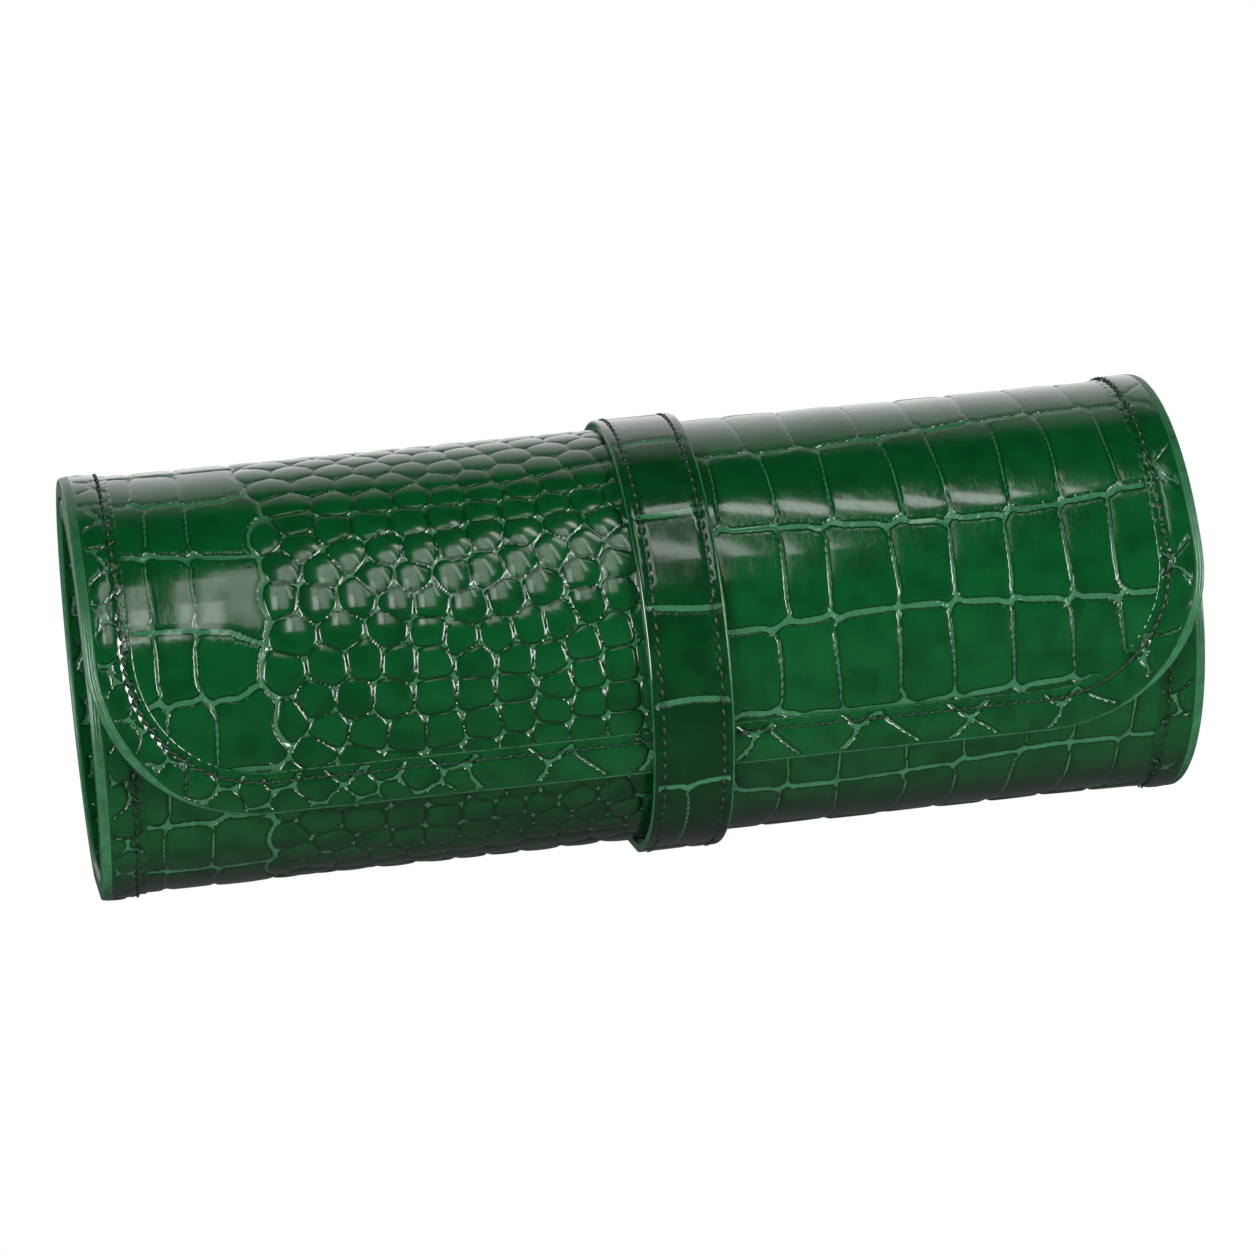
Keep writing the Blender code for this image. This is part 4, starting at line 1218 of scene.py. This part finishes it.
def pocket_height(u, v, low_v, high_v, bound):
    """A pocket's front over its length and width: crisp at its sewn sides and a little full between."""
    aside = POCKET_HALF_MM - np.abs(u)
    over_end = v - low_v
    under_mouth = high_v - v
    rim = np.minimum(np.minimum(aside, over_end), under_mouth)
    round_rim = np.sqrt(np.clip(1 - (1 - np.clip(rim / POCKET_RIM_MM, 0, 1)) ** 2, 0, 1))
    sewn = np.minimum(aside, over_end) if bound else rim
    seam = np.exp(-((sewn - POCKET_STITCH_MM) / POCKET_SEAM_HALF_MM) ** 2)
    full = ease((sewn - POCKET_STITCH_MM - 0.5) / POCKET_FULL_MM)
    height = POCKET_BACK_MM + (POCKET_FRONT_MM - POCKET_BACK_MM) * round_rim + POCKET_SEAM_MM * seam
    height = height - POCKET_BULGE_MM * full * (1 + 0.25 * np.sin(u / 17 + 0.5) * np.sin(v / 11))
    if bound:
        height = height - BINDING_THICK_MM * ease((BINDING_MM - under_mouth) / 0.5) * round_rim
    return height


def pocket_rows(first_v, final_v, low_v, high_v):
    """Places of a stretch's rows along the panel and its rings to drop, finer at the pocket's ends."""
    count = max(4, round((final_v - first_v) / POCKET_ALONG_MM))
    step = (final_v - first_v) / count
    v = first_v + step * np.arange(count + 1)
    drop = [0, 0]
    if first_v > low_v:
        v, drop[0] = np.concatenate([[v[0] - step], v]), 1
    else:
        v = np.concatenate([low_v + MOUTH_ROUNDING_MM, v[v > low_v + 1.0]])
    if final_v < high_v:
        v, drop[1] = np.concatenate([v, [v[-1] + step]]), 1
    else:
        binding_v = high_v - BINDING_MM
        v = np.unique(np.concatenate([v[v < binding_v - 0.5], binding_v + np.array([-0.5, -0.25, 0, 0.5]),
                                      binding_v + np.arange(1, 5) * POCKET_ALONG_MM,
                                      high_v - MOUTH_ROUNDING_MM[::-1]]))
    return v, tuple(drop)


def pocket_piece(name, v, drop, low_v, high_v, bound):
    aside = np.concatenate([SIDE_ROUNDING_MM, np.arange(5.0, POCKET_HALF_MM, POCKET_ACROSS_MM)])
    u, v = np.meshgrid(np.unique(np.concatenate([aside - POCKET_HALF_MM, POCKET_HALF_MM - aside])), v)
    height = pocket_height(u, v, low_v, high_v, bound)
    binding = bound & (v > high_v - BINDING_MM)
    groove, pebble, zone, tone, dome = scale_field(u, v + BINDING_SHIFT_MM, BINDING_SEEDS)
    height = np.where(binding, height + BINDING_RISE_MM - scale_wall(groove, BINDING_RISE_MM), height)
    values = {"groove": groove, "pebble": pebble * binding, "zone": zone * binding, "tone": tone,
              "flat_u": u, "flat_v": v}
    row_paint = np.where(binding[:-1, 0], 0, 2)
    grid = {"points": rolled(u, angle_at(v), height), "drop": drop, "values": values, "flip": True,
            "paint": np.repeat(row_paint[:, None], u.shape[1] - 1, axis=1)}
    return join_grids(name, [grid], INNER_PAINTS, FIELD_VALUES)


def pocket_stitches(name, first_v, final_v, low_v, high_v, bound):
    """Rows of stitches at both sides of a stretch, at the lower end and at the mouth or its binding."""
    at = stitch_places(first_v, final_v)
    at = at[(at > low_v + POCKET_STITCH_MM) & (at < high_v - (MOUTH_CLEAR_MM if bound else POCKET_STITCH_MM))]
    rows = [(np.stack([np.full_like(at, side * (POCKET_HALF_MM - POCKET_STITCH_MM)), at], -1), (0.0, 1.0))
            for side in (-1, 1)]
    lines = [low_v + POCKET_STITCH_MM] * (first_v == low_v)
    mouth_mm = BINDING_MM + BINDING_STITCH_MM if bound else POCKET_STITCH_MM
    lines += [high_v - mouth_mm] * (final_v == high_v)
    rows += [(np.stack([STITCHES_ACROSS_MM, np.full_like(STITCHES_ACROSS_MM, line)], -1), (1.0, 0.0))
             for line in lines]
    blocks = []
    for middle, way in rows:
        lift = pocket_height(middle[:, 0], middle[:, 1], low_v, high_v, bound)
        blocks += [stitch_points(place[None], np.array([way]), float(base) + 0.05, -1)
                   for place, base in zip(middle, lift)]
    return stitch_mesh(name, blocks)


for name, low, high, bound in POCKETS:
    low_v, high_v = float(length_at(low)), float(length_at(high))
    for index in range(SEGMENTS):
        start, end = segment_span(index)
        if end <= low or start >= high:
            continue
        first_v, final_v = float(length_at(max(start, low))), float(length_at(min(end, high)))
        v, drop = pocket_rows(first_v, final_v, low_v, high_v)
        piece = pocket_piece(f"{name}_{LINK_NAMES[index]}", v, drop, low_v, high_v, bound)
        bend_segment(piece, index)
        if end >= high:
            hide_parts(f"{name}_upper", f"{name}_lower")
        thread_name = f"{name}_stitches_{LINK_NAMES[index]}"
        thread = pocket_stitches(thread_name, first_v, final_v, low_v, high_v, bound)
        bend_segment(thread, index)


# The zip: a woven tape sewn along the zip pocket's mouth, with two rows of cast metal teeth that mesh,
# a stop at each end, a slider that runs over them and a pull that turns in the slider's crown.
ZIP_ANGLE = 447.0
ZIP_SEAT_MM = POCKET_BACK_MM - 0.05
TAPE_GREEN = (0.008, 0.075, 0.032)
TAPE_DEEP = (0.005, 0.050, 0.022)
TAPE_PALE = (0.012, 0.095, 0.042)
TAPE_SPAN_SHARE = 1.09           # the panel's length over the tape's, which lies nearer the roll's axis
TAPE_FACE_MM = -4.10
TAPE_SIDE = ((-6.5, -3.45), (-6.5, -3.9), (-6.35, -4.06), (-6.1, TAPE_FACE_MM))
TAPE_STITCH_MM = 5.6
TAPE_FRAY_MM = 0.02
TAPE_EVEN_MM = 103
TAPE_ROWS = 60
TAPE_COLUMNS = 15
CHAIN_HALF_MM = 98.5
CHAIN_LOW_MM = 0.9               # over the tape's seat
TOOTH_STEP_MM = 1.5
TOOTH_HEIGHT_MM = 1.2
TEETH_IN_MM = 1.0                # from the chain's end to the first tooth
TOOTH_OUTLINE = ((-0.52, -1.70), (0.52, -1.70), (0.52, -0.35), (0.34, 0.10), (0.30, 0.48), (-0.30, 0.48),
                 (-0.34, 0.10), (-0.52, -0.35))
CORD_OUTLINE = ((-CHAIN_HALF_MM, -1.75), (CHAIN_HALF_MM, -1.75),
                (CHAIN_HALF_MM, -1.25), (-CHAIN_HALF_MM, -1.25))
STOP_IN_MM = 0.9
STOP_OUTLINE = ((-0.9, -1.7), (0.9, -1.7), (0.9, 1.7), (-0.9, 1.7))
METAL_PALE = (0.80, 0.72, 0.56)
METAL_ROUGHNESS = 0.22
SLIDER_PLACE_MM = -90.5
SLIDER_LOW_MM = CHAIN_LOW_MM + TOOTH_HEIGHT_MM + 0.3
SLIDER_OUTLINE = ((-4.5, -1.9), (-4.2, -2.3), (-1.5, -2.7), (1.6, -3.4), (3.6, -3.3), (4.4, -2.5),
                  (4.5, -1.0), (4.5, 1.0), (4.4, 2.5), (3.6, 3.3), (1.6, 3.4), (-1.5, 2.7), (-4.2, 2.3),
                  (-4.5, 1.9))
CROWN_ARCH = ((-4.4, 1.5), (-4.4, 3.0), (-4.2, 3.55), (-3.7, 3.9), (0.6, 3.9), (1.35, 3.5), (1.75, 2.7),
              (1.8, 1.5), (1.15, 1.5), (1.05, 2.6), (0.7, 3.1), (0.3, 3.3), (-3.55, 3.3), (-3.75, 3.2),
              (-3.85, 2.9), (-3.85, 1.5))
# The pull's slot goes round the crown, and its rim turns inside the crown's arch.
PULL_LOW_MM = SLIDER_LOW_MM + 2.1
PULL_SIDE = [(3.0, -2.3), (4.0, -2.4), (11.0, -2.8)] + [
    (13.0 + 2.8 * math.sin(turn), -2.8 * math.cos(turn)) for turn in np.linspace(0.15, math.pi / 2, 8)]
PULL_TAB = PULL_SIDE + [(x, -y) for x, y in PULL_SIDE[-2::-1]]
PULL_BAR = [(-3.3, -1.75), (-1.0, -2.0), (3.6, -2.37), (3.6, -1.0), (-3.3, -1.0)]
PULL_OTHER_BAR = [(x, -y) for x, y in PULL_BAR[::-1]]
PULL_RIM = [(-3.65, -1.2), (-3.4, -1.6), (-2.75, -1.7), (-2.75, 1.7), (-3.4, 1.6), (-3.65, 1.2)]


def metal_material(name, colour, roughness):
    made, surface = plain_material(name, colour, roughness, 1.0)
    tree = made.node_tree
    fine = tree.nodes.new("ShaderNodeTexCoord").outputs["Object"]
    wear = noise(tree, fine, 700.0, 3.0)
    tree.links.new(remap(tree, wear, 0.3, 0.7, roughness * 0.8, roughness * 1.3), surface.inputs["Roughness"])
    colour_between(tree, surface, remap(tree, wear, 0.3, 0.7), colour, shaded(colour, 0.85))
    return made


PALE_METAL = metal_material("pale_metal", METAL_PALE, METAL_ROUGHNESS)


def weave_material():
    made, surface = plain_material("woven_tape", TAPE_GREEN, 0.85)
    tree = made.node_tree
    split = tree.nodes.new("ShaderNodeSeparateXYZ")
    tree.links.new(flat_vector(tree), split.inputs["Vector"])
    slant = calculate(tree, "ADD", split.outputs["X"], calculate(tree, "PINGPONG", split.outputs["Y"], 0.8))
    shade = remap(tree, calculate(tree, "SINE", calculate(tree, "MULTIPLY", slant, 16.0)), -1.0, 1.0)
    colour_between(tree, surface, shade, TAPE_DEEP, TAPE_PALE)
    add_bump(tree, surface, shade, 0.00012)
    return made


WOVEN_TAPE = weave_material()


def seated(local, angle, height):
    """Points given along the roll, across and towards the roll's axis, on a seat at a roll angle."""
    turn = math.radians(angle)
    inward = np.array([0.0, math.cos(turn), -math.sin(turn)])
    across = np.cross(inward, [1.0, 0.0, 0.0])
    origin = rolled(0.0, np.float64(angle), height)
    local = np.asarray(local, float) / 1000
    return (origin + local[..., 0:1] * np.array([1.0, 0.0, 0.0]) + local[..., 1:2] * across
            + local[..., 2:3] * inward)


def solid_shape(outline, low, high, rounding, segments=3):
    """Upright plate with a given outline and rounded rims: its points and faces."""
    shape = bmesh.new()
    face = shape.faces.new([shape.verts.new((x, y, low)) for x, y in outline])
    made = bmesh.ops.extrude_face_region(shape, geom=[face], use_keep_orig=True)
    bmesh.ops.translate(shape, vec=(0, 0, high - low),
                        verts=[item for item in made["geom"] if isinstance(item, bmesh.types.BMVert)])
    bmesh.ops.recalc_face_normals(shape, faces=shape.faces)
    rims = [edge for edge in shape.edges if abs(edge.verts[0].co.z - edge.verts[1].co.z) < 1e-6]
    bmesh.ops.bevel(shape, geom=rims, offset=rounding, segments=segments, profile=0.5, affect="EDGES",
                    clamp_overlap=True)
    shape.verts.ensure_lookup_table()
    points = np.array([corner.co[:] for corner in shape.verts])
    faces = [tuple(corner.index for corner in face.verts) for face in shape.faces]
    shape.free()
    return points, faces


def joined(shapes):
    """Several shapes as one list of points and one of faces."""
    points, faces = np.empty((0, 3)), []
    for shape_points, shape_faces in shapes:
        faces += [tuple(corner + len(points) for corner in face) for face in shape_faces]
        points = np.concatenate([points, shape_points])
    return points, faces


def moved(shape, offset, turn=(1, 1, 1)):
    """A shape turned or mirrored by a sign for each axis, then moved."""
    points, faces = shape
    if np.prod(turn) < 0:
        faces = [face[::-1] for face in faces]
    return points * turn + offset, faces


def zip_piece(name, shape, material):
    points, faces = shape
    mesh = bpy.data.meshes.new(name)
    mesh.from_pydata(seated(points, ZIP_ANGLE, ZIP_SEAT_MM), [], faces)
    mesh.materials.append(material)
    mesh.shade_smooth()
    mesh.set_sharp_from_angle(angle=math.radians(35))
    piece = bpy.data.objects.new(name, mesh)
    bpy.context.scene.collection.objects.link(piece)
    return piece


side_across, side_level = np.array(TAPE_SIDE).T
across = np.concatenate([side_across, np.linspace(-TAPE_STITCH_MM, TAPE_STITCH_MM, TAPE_COLUMNS),
                         -side_across[::-1]])
level = np.concatenate([side_level, np.full(TAPE_COLUMNS, TAPE_FACE_MM), side_level[::-1]])
tape_end = [POCKET_HALF_MM, POCKET_HALF_MM - TAPE_FRAY_MM, POCKET_HALF_MM - 0.3]
tape_u = np.concatenate([[-place for place in tape_end], np.linspace(-TAPE_EVEN_MM, TAPE_EVEN_MM, TAPE_ROWS),
                         tape_end[::-1]])
end_level = np.minimum((POCKET_HALF_MM - np.abs(tape_u)) / TAPE_FRAY_MM, 1.0)
u, v = np.meshgrid(tape_u, float(length_at(ZIP_ANGLE)) + across * TAPE_SPAN_SHARE)
height = POCKET_BACK_MM + (level[:, None] - POCKET_BACK_MM) * end_level
tape_grid = {"points": rolled(u, angle_at(v), height), "drop": (0, 0), "paint": np.zeros(u.shape[1] - 1, int),
             "flip": True, "values": {"flat_u": u, "flat_v": v, "groove": 2.0}}
piece = join_grids("zip_tape_weave", [tape_grid], [WOVEN_TAPE], FIELD_VALUES)
bend_segment(piece, SEGMENTS - 1)
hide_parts("zip_tape")
blocks = []
for line in (TAPE_STITCH_MM, -TAPE_STITCH_MM):
    row = np.full_like(STITCHES_ACROSS_MM, float(length_at(ZIP_ANGLE)) + line)
    way = np.tile((1.0, 0.0), (len(row), 1))
    blocks.append(stitch_points(np.stack([STITCHES_ACROSS_MM, row], -1), way, TAPE_FACE_MM, -1))
thread = stitch_mesh("zip_tape_stitches", blocks)
bend_segment(thread, SEGMENTS - 1)

tooth = solid_shape(TOOTH_OUTLINE, 0.0, TOOTH_HEIGHT_MM, 0.16, 2)
teeth = np.arange(-CHAIN_HALF_MM + TEETH_IN_MM, CHAIN_HALF_MM - TEETH_IN_MM, TOOTH_STEP_MM)
chain = [moved(tooth, (x, 0.0, CHAIN_LOW_MM)) for x in teeth]
chain += [moved(tooth, (x + TOOTH_STEP_MM / 2, 0.0, CHAIN_LOW_MM), (1, -1, 1)) for x in teeth]
piece = zip_piece("zip_teeth", joined(chain), PALE_METAL)
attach(piece, "top_inner")
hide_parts("zip_chain")
cord = solid_shape(CORD_OUTLINE, 0.55, 1.5, 0.2, 2)
cords = zip_piece("zip_cords", joined([cord, moved(cord, (0, 0, 0), (1, -1, 1))]), WOVEN_TAPE)
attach(cords, "top_inner")
stop = solid_shape(STOP_OUTLINE, 0.55, 2.0, 0.35, 2)
stops = joined([moved(stop, (side * (CHAIN_HALF_MM - STOP_IN_MM), 0, 0)) for side in (-1, 1)])
stops = zip_piece("zip_stops", stops, PALE_METAL)
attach(stops, "top_inner")

crown_points, crown_faces = solid_shape(CROWN_ARCH, -0.7, 0.7, 0.18, 2)
crown = (crown_points[:, [0, 2, 1]] * (1, -1, 1), crown_faces)
slider = joined([solid_shape(SLIDER_OUTLINE, 0.0, 1.8, 0.45), crown])
piece = zip_piece("zip_slider_body", moved(slider, (SLIDER_PLACE_MM, 0, SLIDER_LOW_MM)), PALE_METAL)
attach(piece, "zip_slider")
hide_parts("zip_slider")
pull = joined([solid_shape(outline, 0.0, 0.9, 0.28)
               for outline in (PULL_TAB, PULL_BAR, PULL_OTHER_BAR, PULL_RIM)])
piece = zip_piece("zip_pull_tab", moved(pull, (SLIDER_PLACE_MM, 0, PULL_LOW_MM)), PALE_METAL)
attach(piece, "zip_pull")
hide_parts("zip_pull")


# The ring bar: a suede tube stuffed with foam, with its seam on one side and gathered ends. It is sewn
# down at its left end, and a tab at its right end holds it by a snap.
BAR_ANGLE = 486.0
BAR_ARC_MM = float(length_at(BAR_ANGLE))
BAR_HALF_MM = 75.0
BAR_RADIUS_MM = 8.5
BAR_SEAT_MM = -3.50
BAR_END_MM = 5.0                 # its ends are domed over this length
BAR_ROUNDING_MM = np.array([0.0, 0.03, 0.12, 0.3, 0.6, 1.0, 1.5, 2.1, 2.8, 3.6, 4.5, 5.5, 6.5])
BAR_EVEN_MM = 67.3
BAR_ROWS = 110
BAR_SIDES = 72
BAR_PUCKERS = 9
BAR_PUCKER_MM = 0.35
BAR_PUCKER_RUN_MM = 4.0
BAR_SEAM_TURN = 2.2
BAR_SEAM_SPREAD = 0.05
BAR_SEAM_MM = 0.45
BAR_FLAT_MM = 0.8                # below this height the seat presses the stuffing flat
TAB_FROM_MM = 70.0
TAB_END_MM = 90.3
TAB_HALF_MM = 6.0
TAB_BACK_MM = -3.50
TAB_FRONT_MM = -4.70
TAB_CORNER_MM = 3.0
TAB_THIN_MM = 0.5                # its end is rounded over this length
TAB_STITCH_MM = 4.2
TAB_STITCHES_ALONG_MM = np.arange(77.5, 88.5, 2.5)
TAB_STITCHES_ACROSS_MM = np.array([-2.8, 0.0, 2.8])
TAB_LAST_ROW_MM = 88.3
# The tab's section, from its back round to its face: share of its half width, inset, share of its height.
TAB_SECTION = ((-1, 0.0, 0.0), (-0.5, 0.0, 0.0), (0, 0.0, 0.0), (0.5, 0.0, 0.0), (1, -0.4, 0.03),
               (1, -0.1, 0.3), (1, 0.0, 0.5), (1, -0.1, 0.75), (1, -0.4, 0.97), (0.5, 0.0, 1.0),
               (0, 0.0, 1.0), (-0.5, 0.0, 1.0), (-1, 0.4, 0.97), (-1, 0.1, 0.75), (-1, 0.0, 0.5),
               (-1, 0.1, 0.3), (-1, 0.4, 0.03), (-1, 0.0, 0.0))

x = np.concatenate([BAR_ROUNDING_MM - BAR_HALF_MM, np.linspace(-BAR_EVEN_MM, BAR_EVEN_MM, BAR_ROWS),
                    BAR_HALF_MM - BAR_ROUNDING_MM[::-1]])
x, turn = np.meshgrid(x, np.linspace(0, 2 * math.pi, BAR_SIDES + 1), indexing="ij")
end_gap = BAR_HALF_MM - np.abs(x)
dome = np.sqrt(np.clip(1 - (1 - np.clip(end_gap / BAR_END_MM, 0, 1)) ** 2, 0, 1))
pucker = BAR_PUCKER_MM * np.sin(BAR_PUCKERS * turn) * np.exp(-end_gap / BAR_PUCKER_RUN_MM) * dome
soft = 0.12 * np.sin(x / 9.0 + 1.5 * np.sin(turn)) + 0.10 * np.sin(x / 4.1 + 2.0 * np.cos(turn))
radius = (BAR_RADIUS_MM - 0.15 + soft) * dome + pucker
radius = radius - BAR_SEAM_MM * np.exp(-((turn - BAR_SEAM_TURN) / BAR_SEAM_SPREAD) ** 2) * dome
lift = BAR_RADIUS_MM + radius * np.cos(turn)
lift = np.where(lift < BAR_FLAT_MM, BAR_FLAT_MM - (BAR_FLAT_MM - lift) * 0.25, lift)
bar_grid = {"points": seated(np.stack([x, radius * np.sin(turn), lift], -1), BAR_ANGLE, BAR_SEAT_MM),
            "drop": (0, 0), "paint": np.zeros(turn.shape[1] - 1, int),
            "values": {"flat_u": x, "flat_v": turn * BAR_RADIUS_MM}}
piece = join_grids("ring_bar_stuffing", [bar_grid], [SUEDE], FIELD_VALUES)
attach(piece, "ring_bar")
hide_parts("ring_bar_cushion")


def rounded_tab(start, end, half, back, front, corner):
    """Flat strap end over the wall, from one place along the roll to another, rounded at its far end."""
    reach = abs(end - start)
    way = 1.0 if end > start else -1.0
    along = np.concatenate([np.linspace(0, reach - corner, 14)[:-1],
                            reach - corner * (1 - np.sin(np.linspace(0, math.pi / 2, 12)))])
    narrow = corner - np.sqrt(np.maximum(corner ** 2 - np.maximum(along - reach + corner, 0) ** 2, 0))
    section = np.array(TAB_SECTION)
    across = section[:, 0] * (half - narrow[:, None]) + section[:, 1]
    thin = np.sqrt(np.clip(1 - (1 - np.clip((reach - along) / TAB_THIN_MM, 0, 1)) ** 2, 0, 1))
    height = back + (front - back) * (0.5 + (section[:, 2] - 0.5) * thin[:, None])
    u = np.repeat((start + way * along)[:, None], len(section), axis=1)
    angle = BAR_ANGLE + np.degrees(across / (skin_radius(BAR_ANGLE) + front))
    return {"points": rolled(u, angle, height), "drop": (0, 0), "paint": np.zeros(len(section) - 1, int),
            "values": {"flat_u": u, "flat_v": across}, "flip": way < 0}


for name, side, body, node in (("ring_bar_sewn_end", -1, "inner_end", "ring_bar_anchor"),
                               ("ring_bar_snap_end", 1, "ring_bar", "ring_bar_tab")):
    start, end = side * TAB_FROM_MM, side * TAB_END_MM
    tab = rounded_tab(start, end, TAB_HALF_MM, TAB_BACK_MM, TAB_FRONT_MM, TAB_CORNER_MM)
    piece = join_grids(name, [tab], [SUEDE], FIELD_VALUES)
    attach(piece, body)
    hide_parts(node)
    along = side * TAB_STITCHES_ALONG_MM
    rows = [(along, np.full_like(along, line * TAPE_SPAN_SHARE), (1.0, 0.0))
            for line in (-TAB_STITCH_MM, TAB_STITCH_MM)]
    rows.append((np.full_like(TAB_STITCHES_ACROSS_MM, side * TAB_LAST_ROW_MM),
                 TAB_STITCHES_ACROSS_MM * TAPE_SPAN_SHARE, (0.0, 1.0)))
    blocks = [stitch_points(np.stack([u, BAR_ARC_MM + v], -1), np.tile(way, (len(u), 1)), TAB_FRONT_MM, -1)
              for u, v, way in rows]
    thread = stitch_mesh(f"{name}_stitches", blocks)
    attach(thread, body)


# The snap's pressed cap, a dome with a rolled rim over the tab. Its stud, and the magnets in the strap
# and in the base, keep their solid shapes and get plated or bare metal.
SNAP_PLACE_MM = 82.8
SNAP_LOW_MM = 1.45
SNAP_SIDES = 48
MAGNET_GREY = (0.48, 0.48, 0.50)
MAGNET_ROUGHNESS = 0.40
CAP_PROFILE = ((0.0, 1.55), (1.2, 1.52), (2.2, 1.40), (2.6, 1.22), (2.9, 1.22), (3.3, 1.36), (3.8, 1.20),
               (4.1, 0.85), (4.2, 0.45), (4.1, 0.15), (3.8, 0.0), (0.0, 0.0))
MAGNET_STEEL = metal_material("magnet_steel", MAGNET_GREY, MAGNET_ROUGHNESS)

turn = np.linspace(0, 2 * math.pi, SNAP_SIDES + 1)
ring = np.array(CAP_PROFILE)
local = np.stack([SNAP_PLACE_MM + ring[:, :1] * np.cos(turn), ring[:, :1] * np.sin(turn),
                  np.repeat(ring[:, 1:] + SNAP_LOW_MM, len(turn), axis=1)], -1)
cap_grid = {"points": seated(local, BAR_ANGLE, BAR_SEAT_MM), "drop": (0, 0),
            "paint": np.zeros(len(turn) - 1, int), "values": {}, "flip": True}
piece = join_grids("snap_cap_dome", [cap_grid], [PALE_METAL], ())
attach(piece, "ring_bar")
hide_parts("ring_bar_snap_cap")
for node, paint in (("ring_bar_snap_stud", PALE_METAL), ("strap_magnet", MAGNET_STEEL),
                    ("base_magnet", MAGNET_STEEL)):
    bpy.data.objects[node].data.materials.clear()
    bpy.data.objects[node].data.materials.append(paint)
